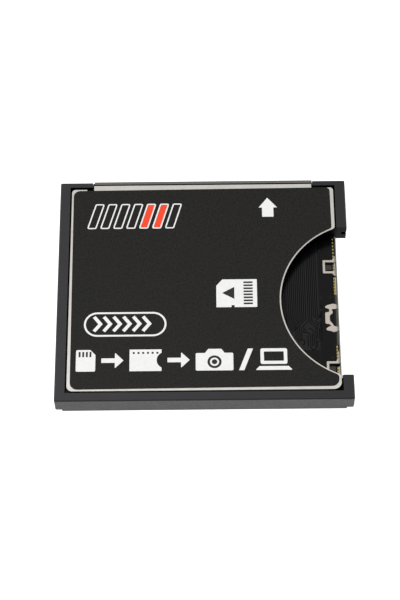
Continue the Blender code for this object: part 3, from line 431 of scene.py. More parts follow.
def ramp(tree, value, low, high, start=0.0, end=1.0):
    """Node that turns low to high into start to end."""
    return add_node(tree, "MapRange", Value=value, From_Min=low, From_Max=high, To_Min=start, To_Max=end)


def in_millimetres(tree):
    """The point on the adapter in millimetres."""
    place = add_node(tree, "TexCoord").outputs["Object"]
    return vector_maths(tree, "MULTIPLY", place, (1 / MM, 1 / MM, 1 / MM))[0]


def new_group(name, **inputs):
    """Node group with its inputs, and the sockets that give them inside it."""
    group = bpy.data.node_groups.new(name, "ShaderNodeTree")
    for label, value in inputs.items():
        kind = "NodeSocketVector" if isinstance(value, tuple) else "NodeSocketFloat"
        socket = group.interface.new_socket(label.replace("_", " "), in_out="INPUT", socket_type=kind)
        socket.default_value = value
    return group, group.nodes.new("NodeGroupInput").outputs


def give_out(group, label, value):
    """The node group with its one output."""
    group.interface.new_socket(label, in_out="OUTPUT", socket_type="NodeSocketFloat")
    feed(group.nodes.new("NodeGroupOutput").inputs[0], value)
    return group


def give_mask(group, first, second):
    """The node group with the product of two values, held between 0 and 1, as its output."""
    product = maths(group, "MULTIPLY", first, second)[0]
    return give_out(group, "Mask", add_node(group, "Clamp", Value=product).outputs[0])


def grain_effect(name):
    """Grain: fine noise in millimetres, for texture, mottling and brushing."""
    group, given = new_group(name, Grains_per_mm=8.0, Detail=3.0, Stretch=(1.0, 1.0, 1.0))
    place = vector_maths(group, "MULTIPLY", in_millimetres(group), given["Stretch"])[0]
    noise = add_node(group, "TexNoise", Vector=place, Scale=given["Grains per mm"], Detail=given["Detail"])
    return give_out(group, "Value", noise.outputs[0])


# Share of the cells that hold no speck, and how sharp a speck's rim is
NO_SPECK = 0.82
SPECK_RIM = 30.0


def specks_effect(name):
    """Specks: sparse round specks of dust or pits."""
    group, given = new_group(name, Specks_per_mm=2.0, Size=0.1)
    cells = add_node(group, "TexVoronoi", Vector=in_millimetres(group), Scale=given["Specks per mm"])
    inside = maths(group, "SUBTRACT", given["Size"], cells.outputs["Distance"])[0]
    some = add_node(group, "SeparateColor", Color=cells.outputs["Color"]).outputs[0]
    chosen = maths(group, "GREATER_THAN", some, NO_SPECK)[0]
    return give_mask(group, maths(group, "MULTIPLY", inside, SPECK_RIM)[0], chosen)


def place_effect(name):
    """Place: how far to the right a point lies, in millimetres."""
    group, _ = new_group(name)
    apart = add_node(group, "SeparateXYZ", Vector=in_millimetres(group))
    return give_out(group, "Value", apart.outputs["X"])


def wear_and_highlight_effect(name):
    """Wear and painted highlight: a mask along convex and concave edges."""
    group, given = new_group(name, Radius=0.05 * MM, Strength=2.0)
    edge = configure(add_node(group, "Bevel", Radius=given["Radius"]), samples=4)
    true = add_node(group, "NewGeometry").outputs["Normal"]
    along = vector_maths(group, "DOT_PRODUCT", edge.outputs[0], true)["Value"]
    return give_mask(group, maths(group, "SUBTRACT", 1.0, along)[0], given["Strength"])


EFFECTS = {
    "surface_grain": grain_effect,
    "surface_specks": specks_effect,
    "place_across": place_effect,
    "edge_wear": wear_and_highlight_effect,
}

# Most of the grain's values lie in this range. Then the places of a mix node's colour sockets
GRAIN_RANGE = (0.3, 0.7)
MIX_BELOW, MIX_OVER, MIX_RESULT = 6, 7, 2


class Finish:
    """A material under way: one Principled shader and the effects that feed it."""

    def __init__(self, name, base, roughness, metallic=0.0):
        self.material = configure(bpy.data.materials.new(name), use_nodes=True)
        self.tree = self.material.node_tree
        self.shader = self.tree.nodes["Principled BSDF"]
        self.colour = (*base, 1.0)
        self.height = None
        self.set(Base_Color=self.colour, Roughness=roughness, Metallic=metallic)

    def set(self, **values):
        """Feed sockets of the shader."""
        fill(self.shader, **values)

    def effect(self, name, **values):
        """Output of an effect with its own values; the effect is made when it is first asked for."""
        group = bpy.data.node_groups.get(name) or EFFECTS[name](name)
        return fill(configure(add_node(self.tree, "Group"), node_tree=group), **values).outputs[0]

    def grain(self, per_mm, detail, stretch=(1.0, 1.0, 1.0)):
        """Grain of a fineness."""
        return self.effect("surface_grain", Grains_per_mm=per_mm, Detail=detail, Stretch=stretch)

    def tint(self, mask, shade, low=0.35, high=0.65):
        """Mix a colour over what is there, where the mask runs from low to high."""
        mix = configure(add_node(self.tree, "Mix"), data_type="RGBA")
        feed(mix.inputs["Factor"], ramp(self.tree, mask, low, high).outputs[0])
        feed(mix.inputs[MIX_BELOW], self.colour)
        feed(mix.inputs[MIX_OVER], (*shade, 1.0))
        self.colour = mix.outputs[MIX_RESULT]
        self.set(Base_Color=self.colour)

    def across(self, shade, low, high):
        """Mix a colour over what is there, from one place to another further right."""
        self.tint(self.effect("place_across"), shade, low, high)

    def wear_and_highlight(self, radius, shade):
        """Mix a colour over the edges, within a radius in millimetres: partly wear and partly painted
        highlight.
        """
        self.tint(self.effect("edge_wear", Radius=radius * MM, Strength=3.0), shade, 0.0, 1.0)

    def rough(self, mask, low, high):
        """Roughness that follows a grain."""
        self.set(Roughness=ramp(self.tree, mask, *GRAIN_RANGE, low, high).outputs[0])

    def relief(self, mask, depth):
        """Bump of a depth in millimetres, over the one before."""
        bump = add_node(self.tree, "Bump", Distance=depth * MM, Strength=1.0, Height=mask)
        if self.height is not None:
            fill(bump, Normal=self.height)
        self.height = bump.outputs[0]
        self.set(Normal=self.height)


def scaled(shade, factor):
    """A colour scaled in brightness."""
    return tuple(min(1.0, c * factor) for c in shade)


# Where the frame's plastic begins to darken towards the right as painted shade, and where it would be its
# darkest
RIGHT_SHADE_START, RIGHT_SHADE_END = -14.0, 54.0


def moulded(name, base, roughness, gloss=0.42, right=1.0):
    """Spark-eroded moulded plastic, paler along its edges as wear and painted highlight and, if wished,
    darker at the right as painted shade.
    """
    made = Finish(name, base, roughness)
    made.set(Specular_IOR_Level=gloss)
    made.tint(made.grain(0.35, 4.0), scaled(base, 1.25))
    made.tint(made.grain(9.0, 2.0), scaled(base, 1.5), 0.5, 0.8)
    # Painted shade: the plastic darkens towards the right, where the light falls off
    made.across(scaled(base, right), RIGHT_SHADE_START, RIGHT_SHADE_END)
    # Paler edges: partly wear, partly painted highlight
    made.wear_and_highlight(0.07, scaled(base, 2.6))
    made.rough(made.grain(3.0, 4.0), roughness - 0.05, roughness + 0.07)
    made.relief(made.grain(11.0, 2.0), 0.012)
    made.relief(made.grain(0.6, 2.0), 0.01)
    return made.material


def shaded_mouth_plastic(name, base):
    """Dull moulded plastic of the card mouth, darkened as painted shade, and a little paler outside the
    cover's edge where that painted shade is weaker.
    """
    made = Finish(name, scaled(base, 0.05), 0.55)
    made.set(Specular_IOR_Level=0.05)
    made.across(scaled(base, 0.7), BOARD_HIGH.x - 0.1, BOARD_HIGH.x + 0.15)
    made.relief(made.grain(11.0, 2.0), 0.012)
    return made.material


def label_film(name, base, roughness):
    """Printed film with a warm satin sheen, a fine mottled grain and a few specks."""
    made = Finish(name, scaled(base, 0.3), roughness)
    made.set(Specular_IOR_Level=0.26, Specular_Tint=(1.0, 0.98, 0.91, 1.0))
    made.tint(made.grain(4.0, 1.0), scaled(base, 2.3), 0.4, 0.6)
    made.tint(made.grain(0.25, 3.0), scaled(base, 1.4), 0.5, 1.0)
    made.tint(made.grain(14.0, 2.0), scaled(base, 1.6), 0.5, 0.85)
    specks = made.effect("surface_specks", Specks_per_mm=0.9, Size=0.035)
    made.tint(specks, scaled(base, 4.0), 0.0, 1.0)
    made.rough(made.grain(4.0, 3.0), roughness - 0.12, roughness + 0.12)
    made.relief(made.grain(16.0, 2.0), 0.006)
    return made.material


def ink(name, base):
    """Screen-printed ink, faintly uneven."""
    made = Finish(name, base, 0.5)
    made.tint(made.grain(1.5, 4.0), scaled(base, 0.94))
    made.tint(made.grain(20.0, 2.0), scaled(base, 0.9), 0.55, 0.8)
    made.relief(made.grain(16.0, 2.0), 0.004)
    return made.material


def rolled_steel(name, base, roughness, fold=None):
    """Rolled stainless sheet: fine brush lines, faint clouding, edges brightened partly as cut metal and
    partly as painted highlight, and, where a fold colour is given, painted shade over the fold at the card
    mouth.
    """
    made = Finish(name, base, roughness, 1.0)
    lines = made.grain(7.0, 4.0, (0.12, 3.0, 3.0))
    made.tint(made.grain(0.3, 3.0), scaled(base, 0.9))
    made.tint(lines, scaled(base, 0.88), 0.45, 0.7)
    # Brighter edges: partly cut metal, partly painted highlight
    made.wear_and_highlight(0.03, scaled(base, 1.25))
    made.rough(lines, roughness - 0.07, roughness + 0.1)
    made.relief(lines, 0.003)
    made.relief(made.grain(0.35, 2.0), 0.02)
    # Painted shade over the fold at the card mouth, where the bend turns away from the light
    if fold is not None:
        made.across(fold, MOUTH_FOLD, MOUTH_FOLD + 0.1)
    return made.material


def solder_mask(name, base, gloss=0.4):
    """Glossy lacquer of the board, with the weave of the laminate just showing."""
    made = Finish(name, base, 0.2)
    made.set(Specular_IOR_Level=gloss)
    made.tint(made.grain(0.5, 3.0), scaled(base, 1.4))
    made.tint(made.grain(9.0, 1.0), scaled(base, 1.7), 0.5, 0.8)
    made.rough(made.grain(4.0, 3.0), 0.15, 0.27)
    made.relief(made.grain(5.0, 2.0), 0.004)
    return made.material


def plated(name, base, roughness):
    """Plated metal, softly uneven."""
    made = Finish(name, base, roughness, 1.0)
    made.tint(made.grain(3.0, 3.0), scaled(base, 0.82))
    made.rough(made.grain(8.0, 3.0), roughness - 0.06, roughness + 0.12)
    made.relief(made.grain(10.0, 2.0), 0.004)
    return made.material


def fired(name, base, roughness):
    """Fired ceramic, moulded epoxy or bare laminate."""
    made = Finish(name, base, roughness)
    made.tint(made.grain(6.0, 4.0), scaled(base, 1.35))
    made.rough(made.grain(10.0, 3.0), roughness - 0.08, roughness + 0.08)
    made.relief(made.grain(18.0, 2.0), 0.006)
    return made.material


def stock():
    """Recipe of every finish and its values, by name."""
    shades = finishes()
    return {
        # The frame's plastic takes painted shade towards the right
        "black_plastic": (moulded, shades.plastic, shades.plastic_roughness, 0.42, 0.2),
        "smooth_plastic": (shaded_mouth_plastic, shades.plastic),
        "shaded_plastic": (moulded, scaled(shades.plastic, 0.05), 0.6, 0.02),
        "grey_plastic": (moulded, shades.header, 0.5),
        "label_film": (label_film, shades.film, shades.film_roughness),
        "white_ink": (ink, shades.white_ink),
        "red_ink": (ink, shades.red_ink),
        "black_ink": (ink, scaled(shades.film, 0.8)),
        "stainless_sheet": (rolled_steel, shades.steel, shades.steel_roughness),
        "formed_steel": (rolled_steel, shades.formed, 0.45, shades.fold_shade),
        "bright_fold": (rolled_steel, shades.formed, 0.4),
        "cut_edge": (rolled_steel, shades.cut_edge, 0.5),
        "old_gold": (plated, shades.old_gold, 0.45),
        "dim_gold": (plated, scaled(shades.old_gold, 0.28), 0.5),
        "gold_plating": (plated, shades.gold, 0.25),
        "tinned_metal": (plated, shades.tin, 0.35),
        "solder_mask": (solder_mask, shades.mask),
        "covered_copper": (solder_mask, shades.covered_copper),
        "track_mask": (solder_mask, shades.mask, 0.05),
        "hatch_mask": (solder_mask, shades.mask, 0.2),
        "slit_mask": (solder_mask, scaled(shades.mask, 0.15), 0.02),
        "via_mask": (solder_mask, scaled(shades.mask, 4.0)),
        "laminate": (fired, shades.laminate, 0.6),
        "chip_epoxy": (fired, shades.epoxy, 0.55),
        "capacitor_ceramic": (fired, shades.ceramic, 0.45),
        "resistor_film": (fired, shades.resistor, 0.35),
    }


def finish(name):
    """A finish by name, made when it is first asked for."""
    full_name = "adapter_" + name
    recipe, *values = stock()[name]
    return bpy.data.materials.get(full_name) or recipe(full_name, *values)


def dress(node, name, edge=0.0, segments=1):
    """Give a solid its finish and soft edges."""
    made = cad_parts[node]
    made.data.materials.clear()
    made.data.materials.append(finish(name))
    if edge:
        soften_edges(made, edge, segments)
    return made


def finish_faces(made, others, choose):
    """Give some faces another finish: choose tells a face's finish from its middle and normal."""
    for name in others:
        made.data.materials.append(finish(name))
    for polygon in made.data.polygons:
        polygon.material_index = int(choose(polygon.center / MM, polygon.normal))


# Print on the label. Every motif is a plain shape; positions are in millimetres on the label


def printed(name, ink_name, shapes, lift=0.0):
    """Ink shapes on the label: an outline is printed solid, a pair of outlines as a ring."""
    settings = sizes()
    low = LABEL_TOP - settings.ink_sink + lift
    high = LABEL_TOP + settings.ink + lift
    mesh = bmesh.new()
    for shape in shapes:
        if isinstance(shape[0][0], (tuple, list)):
            hoop(mesh, shape[0], shape[1], low, high)
        else:
            prism(mesh, shape, low, high)
    return piece(name, mesh, ink_name, "label_film")


def ring_of(outline, width):
    """Outline and its inset, for a line of that width."""
    return (outline, inset(outline, width))


# Line widths of the bars and the lens, and the insets of the pill's line
BAR_LINE = 0.2
LENS_LINE = 0.26
PILL_LINE = (0.03, 0.31)

# The pill, and the printed memory card with its insert mark
PILL = (-17.4, -5.37, -8.0, -3.98)
PILL_CORNER = 2.0
PRINTED_CARD = (1.87, 7.82, -3.35, 1.25)
INSERT_MARK = [(2.7, -1.0), (4.5, -2.0), (4.5, 0.0)]
INSERT_ARROW = [
    (8.85, 11.85), (10.55, 11.85), (10.55, 13.45), (11.12, 13.45),
    (9.67, 15.15), (8.35, 13.45), (8.85, 13.45),
]

# Row of pictograms: its low and high edge, the bold arrows' ends and the middle of the camera's lens
ROW_LOW, ROW_HIGH = -13.55, -10.1
ROW_MIDDLE = (ROW_LOW + ROW_HIGH) / 2
ROW_ARROWS = ((-14.75, -11.55), (-5.25, -2.05))
LENS = (1.5, ROW_LOW + 1.38)


def slanted_bars():
    """Row of slanted bars in the corner."""
    base, top, slant, wide, pitch, first = 10.0, 14.3, 1.25, 1.4, 1.93, -17.3
    bars = []
    for i in range(7):
        x = first + pitch * i
        bar = [(x, base), (x + wide, base), (x + wide + slant, top), (x + slant, top)]
        bars.append(softened(bar, 0.3))
    return bars


def printed_card():
    """Memory card seen flat, lying on its side, with its cut corner at the upper left."""
    x0, x1, y0, y1 = PRINTED_CARD
    notch, wide, deep, corner = 4.0685, 0.45, 0.33, 0.08
    return [
        (x0, y0), (notch, y0), (notch, y0 + deep), (notch + wide, y0 + deep), (notch + wide, y0),
        (x1 - corner, y0), (x1, y0 + corner), (x1, y1 - corner), (x1 - corner, y1),
        (x0 + 0.8925, y1), (x0, y1 - 1.05),
    ]


def chevron(x, y0, y1, width):
    """Chevron that points right, from its left edge."""
    reach = (y1 - y0) / 2
    return ribbon([(x, y0), (x + reach * 0.8, y0 + reach), (x, y1)], width)


def row_arrow(x0, x1):
    """Bold arrow of the row, pointing right."""
    half, head = 0.36, 1.25
    neck, y = x1 - head, ROW_MIDDLE
    outline = [
        (x0, y - half), (neck, y - half), (neck, y - head), (x1, y),
        (neck, y + head), (neck, y + half), (x0, y + half),
    ]
    return softened(outline, 0.08)


def card_sign():
    """The memory card in the row."""
    y0, y1 = ROW_LOW, ROW_HIGH
    return softened([(-18.4, y0), (-15.6, y0), (-15.6, y1 - 0.8), (-16.35, y1), (-18.4, y1)], 0.25)


def adapter_sign():
    """The adapter in the row, with its round notch."""
    x0, x1, shoulder = -10.7, -6.1, 0.55
    lower = [(x0, ROW_LOW), (x1, ROW_LOW), (x1, ROW_LOW + shoulder)]
    upper = [(x1, ROW_HIGH - shoulder), (x1, ROW_HIGH), (x0, ROW_HIGH)]
    return lower + arc((-5.45, ROW_MIDDLE), 1.35, 240, 120, 14) + upper


def camera_sign():
    """The camera in the row, without its lens."""
    y0, y1, shoulder = ROW_LOW, ROW_HIGH, ROW_HIGH - 0.65
    outline = [
        (-1.2, y0), (4.2, y0), (4.2, shoulder), (2.95, shoulder), (2.5, y1), (0.6, y1),
        (0.15, shoulder), (-1.2, shoulder),
    ]
    return softened(outline, 0.22)


def computer_sign():
    """The computer in the row: the ring of its screen, and its foot."""
    y0, y1 = ROW_LOW, ROW_HIGH
    screen = [rounded(8.1 + g, 11.95 - g, y0 + 0.95 + g, y1 - g, r) for g, r in ((0.0, 0.3), (0.5, 0.08))]
    foot = softened([(7.35, y0), (12.7, y0), (12.1, y0 + 0.62), (7.95, y0 + 0.62)], 0.1)
    return [tuple(screen), foot]


def row_signs():
    """White shapes of the row: card, arrow, adapter, arrow, camera, stroke and computer."""
    stroke = [(5.0, ROW_LOW), (5.75, ROW_LOW), (7.05, ROW_HIGH), (6.3, ROW_HIGH)]
    first, second = (row_arrow(*ends) for ends in ROW_ARROWS)
    return [card_sign(), first, adapter_sign(), second, camera_sign(), stroke] + computer_sign()


def row_details():
    """Black shapes of the row: the card's contacts, the adapter's holes and the lens's surround."""
    contacts = [-18.02 + i * 0.52 for i in range(4)]
    holes = [-10.1 + i * 0.68 for i in range(6)]
    return (
        [rectangle(x, x + 0.28, ROW_HIGH - 1.15, ROW_HIGH - 0.3) for x in contacts]
        + [circle(x, ROW_HIGH - 0.55, 0.17, 16) for x in holes]
        + [circle(*LENS, 1.02)]
    )


class ADAPTER_OT_label(bpy.types.Operator):
    """Dress the label and print its motifs"""

    bl_idname = "adapter.label"
    bl_label = "Label and print"

    def execute(self, context):
        dress("top_label", "label_film")
        printed("print_pictograms", "white_ink", row_signs())
        printed("print_pictogram_details", "black_ink", row_details(), 0.003)
        printed("print_lens", "white_ink", [ring_of(circle(*LENS, 0.66), LENS_LINE)], 0.005)
        printed("print_insert_arrow", "white_ink", [INSERT_ARROW])
        bars = slanted_bars()
        printed("print_bar_outlines", "white_ink", [ring_of(bar, BAR_LINE) for bar in bars])
        printed("print_red_bars", "red_ink", [inset(bar, BAR_LINE + 0.02) for bar in bars[4:6]])
        printed("print_card", "white_ink", [printed_card()])
        pads = [rectangle(5.85, 7.2, 0.6 - i * 0.5, 0.88 - i * 0.5) for i in range(8)]
        printed("print_card_details", "black_ink", pads + [INSERT_MARK], 0.003)
        x0, x1, y0, y1 = PILL
        pill = [rounded(x0 + g, x1 - g, y0 + g, y1 - g, PILL_CORNER - g, 16) for g in PILL_LINE]
        printed("print_pill", "white_ink", [tuple(pill)])
        marks = [chevron(-15.9 + i * 1.42, -7.1, -4.75, 0.5) for i in range(6)]
        printed("print_chevrons", "white_ink", marks)
        return {"FINISHED"}


# Frame and covers


# Least part of a normal along an axis for a face that looks that way, and how near counts as at
FACING = 0.9
CLOSE = 0.01


def near(value, *places):
    """Whether a value lies at one of some places."""
    return min(abs(value - place) for place in places) < CLOSE


def in_frame_gap(middle, normal):
    """Whether a face of the frame lies in the cover's gap or in a guide groove."""
    side = abs(normal.x) > FACING and near(middle.x, *POCKET_SIDES)
    end = abs(normal.y) > FACING and near(middle.y, *POCKET_ENDS)
    ledge = abs(normal.z) > FACING and near(middle.z, LEDGE_LOW, LEDGE_TOP)
    groove = middle.y > MOUTH_FRONT and abs(middle.x) > 20 and LEDGE_LOW < middle.z < LEDGE_TOP
    groove_side = abs(normal.x) > FACING and RIGHT_SIDE - abs(middle.x) > 0.1
    return side or end or ledge or (groove and (groove_side or abs(normal.z) > FACING))


def frame_part(middle, normal):
    """Finish of a face of the frame: 0 is grained, 1 is duller and darkened as painted shade in the card
    mouth and on the right side, and 2 lies in a narrow gap, darkened as painted shade.
    """
    if in_frame_gap(middle, normal):
        return 2
    mouth = abs(normal.y) > FACING and middle.x > 0 and MOUTH_REAR - 1 < middle.y < MOUTH_FRONT + 1
    if mouth or (normal.x > FACING and near(middle.x, RIGHT_SIDE)):
        return 1
    return 0


class ADAPTER_OT_frame(bpy.types.Operator):
    """Dress the moulded frame"""

    bl_idname = "adapter.frame"
    bl_label = "Frame"

    def execute(self, context):
        made = dress("frame", "black_plastic", sizes().moulded_edge, 2)
        finish_faces(made, ("smooth_plastic", "shaded_plastic"), frame_part)
        return {"FINISHED"}


# Small ear of sheet beside the rear end of the card mouth
MOUTH_EAR = [
    (19.62, -14.95), (19.8, -14.8), (19.76, -14.45), (19.64, -14.1), (19.56, -14.05), (19.58, -14.5),
]


def on_notch_edge(middle, normal):
    """Whether a face of the top cover is the cut edge of the thumb notch."""
    beside_mouth = MOUTH_REAR - 0.3 < middle.y < MOUTH_FRONT + 0.5
    on_sheet = middle.z > LEDGE_TOP and middle.x > NOTCH_APEX - 0.5
    return abs(normal.z) < 0.5 and on_sheet and beside_mouth


class ADAPTER_OT_covers(bpy.types.Operator):
    """Dress the two sheet covers"""

    bl_idname = "adapter.covers"
    bl_label = "Covers"

    def execute(self, context):
        cover = dress("top_cover", "stainless_sheet", sizes().sheet_edge)
        finish_faces(cover, ("cut_edge",), on_notch_edge)
        dress("bottom_cover", "formed_steel", sizes().sheet_edge)
        ear = bmesh.new()
        prism(ear, softened(MOUTH_EAR, 0.05), LEDGE_TOP + 0.02, LEDGE_TOP + 0.14)
        piece("mouth_ear", ear, "bright_fold", "stainless_sheet")
        return {"FINISHED"}


# Circuit board

# Paths of the tracks: three bundles, each given by its first track, and single ones
MAIN_BUS = [(12.44, 9.4), (12.44, -3.1), (9.0, -6.54)]
SHORT_BUS = [(13.44, -5.35), (13.44, -7.0), (13.2, -7.24)]
SIDE_BUS = [(16.1, 9.4), (16.1, -3.6), (16.75, -4.25)]
SINGLE_TRACKS = [
    [(15.3, 9.4), (15.3, -4.45), (14.6, -5.15), (14.6, -5.75), (14.95, -5.75)],
    [
        (15.56, 9.4), (15.56, -4.65), (16.35, -5.45), (16.35, -8.7), (16.1, -9.05), (15.75, -9.05),
        (15.55, -8.8), (15.55, -6.65), (15.2, -6.3), (14.55, -6.3), (14.55, -6.02), (15.0, -6.02),
    ],
    [
        (15.84, 9.4), (15.84, -4.4), (16.58, -5.14), (16.58, -7.15), (16.72, -7.35), (16.88, -7.15),
        (16.88, -5.6),
    ],
    [(15.17, -6.75), (15.17, -8.6)],
    [(15.3, -5.7), (15.75, -5.7), (15.9, -5.95), (16.08, -6.3), (16.08, -8.5)],
    [(15.82, -6.4), (15.82, -8.55)],
    [(16.3, -4.3), (16.75, -4.75), (16.75, -5.1)],
    [(17.25, -1.7), (17.25, -3.4), (17.05, -3.6)],
    [(17.2, -4.6), (17.2, -7.3), (16.9, -7.65), (16.55, -7.75), (16.55, -8.7)],
    [(14.1, -7.5), (14.55, -7.5), (14.65, -7.7), (14.65, -8.2), (14.3, -8.2)],
]

# Cross-hatched areas, and the pitch and width of their lines
HATCHED = ((16.95, 19.2, -13.9, 9.4), (13.6, 16.9, -13.9, -9.15), (11.0, 12.25, -5.4, 2.2))
HATCH_PITCH = 0.36
HATCH_LINE = 0.11

# Slots and pads under the tabs, holes for the pegs, and vias
TAB_SLOTS = ((4.93, 5.28), (3.78, 4.1), (-11.82, -11.47), (-12.97, -12.65))
TAB_PADS = ((4.12, 4.9), (-12.63, -11.85))
PEG_HOLES = ((-15.6, 12.8), (15.6, 12.8), (-11.625, 8.8), (-11.625, -13.3))
VIAS = ((17.25, 7.4), (17.3, -0.55), (18.75, -0.45), (17.25, -2.6), (18.7, -10.4), (16.95, -4.2))

# Edge of the board's tongue: low end, high end and pitch of each run of plated marks. The first
# run has bare gaps between them. Then the runs of the sheet's bright fold, and dark patches painted as the
# shade in the slits beside the tabs
TONGUE_SIDE = 19.3
MARK_RUNS = (
    (6.1, 9.58, 0.58), (3.15, 6.15, 0.5), (-0.12, 2.88, 0.5), (-11.45, -8.45, 0.5), (-13.4, -11.9, 0.5),
)
FOLD_RUNS = ((3.2, 6.4), (-0.15, 2.88), (-11.45, -9.4), (-14.1, -11.85))
SLIT_SHADOWS = ((19.05, 19.4, 4.95, 5.25), (19.2, 19.62, 2.9, 3.16), (19.05, 19.66, -11.84, -11.46))
BARE_EDGE = (19.42, BOARD_HIGH.x - 0.005, -8.35, -0.25)


def tracks():
    """Outlines of all the tracks on the board."""
    settings = sizes()
    wide, pitch = settings.track_width, settings.track_pitch
    lines = []
    for path, count in ((MAIN_BUS, 10), (SHORT_BUS, 4), (SIDE_BUS, 3)):
        lines += [ribbon(path, wide, pitch * i) for i in range(count)]
    return lines + [ribbon(path, wide) for path in SINGLE_TRACKS]


def hatch(x0, x1, y0, y1):
    """Outlines of fine cross-hatched copper in a rectangle."""
    lines = []
    wide, high = x1 - x0, y1 - y0
    for i in range(1, int((wide + high) / HATCH_PITCH)):
        reach = i * HATCH_PITCH
        start = (x0 + max(0.0, reach - high), y0 + min(reach, high))
        end = (x0 + min(reach, wide), y0 + max(0.0, reach - wide))
        lines.append(ribbon([start, end], HATCH_LINE))
        crossing = [(x0 + x1 - x, y) for x, y in (start, end)]
        lines.append(ribbon(crossing, HATCH_LINE))
    return lines


def edge_marks():
    """Outlines of the plated marks along the edge of the tongue."""
    marks = []
    for low, high, pitch in MARK_RUNS:
        for i in range(round((high - low) / pitch)):
            y = high - pitch * (i + 0.5)
            marks.append(rounded(19.27, 19.45, y - 0.14, y + 0.14, 0.06, 3))
    return marks


def board_outline():
    """Outline of the board with its tongue in the card mouth."""
    side = TONGUE_SIDE
    return [
        (BOARD_LOW.x, BOARD_LOW.y), (side, BOARD_LOW.y), (side, MOUTH_REAR), (BOARD_HIGH.x, MOUTH_REAR),
        (BOARD_HIGH.x, MOUTH_FRONT), (side, MOUTH_FRONT), (side, BOARD_HIGH.y), (BOARD_LOW.x, BOARD_HIGH.y),
    ]


def bare_board():
    """The board with its slots and holes."""
    top = BOARD_HIGH.z
    body = bmesh.new()
    prism(body, board_outline(), BOARD_LOW.z, top)
    cuts = bmesh.new()
    for low, high in TAB_SLOTS:
        prism(cuts, rounded(18.15, 19.15, low, high, 0.1), top - 0.3, top + 0.1)
    for x, y in PEG_HOLES:
        prism(cuts, circle(x, y, 0.5, 24), BOARD_LOW.z - 0.1, top + 0.1)
    return subtract("circuit_board", body, cuts)


def trim(name, finish_name, slot, outlines, height, sink=0.01):
    """Thin trim on the board, sunk into it a little, as one piece."""
    mesh = bmesh.new()
    for outline in outlines:
        prism(mesh, outline, BOARD_HIGH.z - sink, BOARD_HIGH.z + height)
    piece(name, mesh, finish_name, slot)


def vias():
    """Low domes of the filled vias."""
    mesh = bmesh.new()
    for x, y in VIAS:
        rings = ((-0.01, 0.16), (0.02, 0.15), (0.03, 0.1))
        skin(mesh, [(BOARD_HIGH.z + rise, circle(x, y, radius, 20)) for rise, radius in rings])
    return mesh


def tab_pads():
    """Pads between the slots of a tab, with sloping sides."""
    mesh = bmesh.new()
    for low, high in TAB_PADS:
        base = rounded(18.15, 19.05, low, high, 0.1, 4)
        rings = ((-0.01, base), (0.01, base), (0.03, inset(base, 0.06)))
        skin(mesh, [(BOARD_HIGH.z + rise, outline) for rise, outline in rings])
    return mesh


class ADAPTER_OT_board(bpy.types.Operator):
    """Build the circuit board with its tracks, hatching, vias and plated marks"""

    bl_idname = "adapter.board"
    bl_label = "Circuit board"

    def execute(self, context):
        copper = sizes().track_height
        piece("circuit_board", bare_board(), "solder_mask", "solder_mask", "pcb")
        trim("board_tracks", "track_mask", "solder_mask", tracks(), copper, 0.005)
        lines = [line for area in HATCHED for line in hatch(*area)]
        trim("board_hatching", "hatch_mask", "solder_mask", lines, copper / 2, 0.005)
        trim("board_edge_marks", "old_gold", "gold_plating", edge_marks(), 0.014)
        plating = [rounded(19.28, 19.44, low, high, 0.05, 3) for low, high, _ in MARK_RUNS[1:]]
        trim("board_edge_plating", "dim_gold", "gold_plating", plating, 0.006)
        trim("board_bare_edge", "laminate", "solder_mask", [rounded(*BARE_EDGE, 0.05)], 0.006)
        fold = [rounded(19.49, 19.61, low, high, 0.05) for low, high in FOLD_RUNS]
        trim("mouth_lip", "bright_fold", "stainless_sheet", fold, 0.02)
        # Painted shade: dark patches on the board where the slits beside the tabs lie in shade
        trim("mouth_slit_shadows", "slit_mask", "solder_mask", [rounded(*slit_patch, 0.04) for slit_patch in SLIT_SHADOWS], 0.024)
        piece("board_vias", vias(), "via_mask", "solder_mask")
        piece("board_tab_pads", tab_pads(), "covered_copper", "solder_mask")
        return {"FINISHED"}


# Socket header


def socket_places():
    """Middles of the holes in the header's front face."""
    settings = sizes()
    pitch = settings.socket_pitch
    half = (settings.socket_columns - 1) / 2
    rows = (THICKNESS / 2 - pitch / 2, THICKNESS / 2 + pitch / 2)
    return [((i - half) * pitch, z) for z in rows for i in range(settings.socket_columns)]


def header_body():
    """Side section of the header, drawn from its back over the lip and round."""
    back, front, step, chamfer = HEADER_LOW.y + 1.2, HEADER_HIGH.y, 14.0, 0.08
    return [
        (back, ON_BOARD), (step, ON_BOARD), (step, LEDGE_LOW), (LIP_BACK, LEDGE_LOW), (LIP_BACK, 0.0),
        (front - chamfer, 0.0), (front, chamfer), (front, THICKNESS - chamfer),
        (front - chamfer, THICKNESS), (LIP_BACK, THICKNESS), (LIP_BACK, LEDGE_TOP), (back, LEDGE_TOP),
    ]


def header_ends():
    """Low and high x of the shallow reliefs at the header's ends."""
    left, right = HEADER_RELIEFS
    return ((HEADER_LOW.x - 1, HEADER_LOW.x + left), (HEADER_HIGH.x - right, HEADER_HIGH.x + 1))


def in_header_gap(middle, normal):
    """Whether a face of the header lies in a relief or behind the lip."""
    (_, low), (high, _) = header_ends()
    outside = middle.x < low + CLOSE or middle.x > high - CLOSE
    beside = outside and middle.z > THICKNESS - HEADER_RELIEF_HEIGHT - CLOSE
    behind = middle.y < LIP_BACK + CLOSE and middle.z > LEDGE_TOP - CLOSE and normal.x < FACING
    return beside or behind


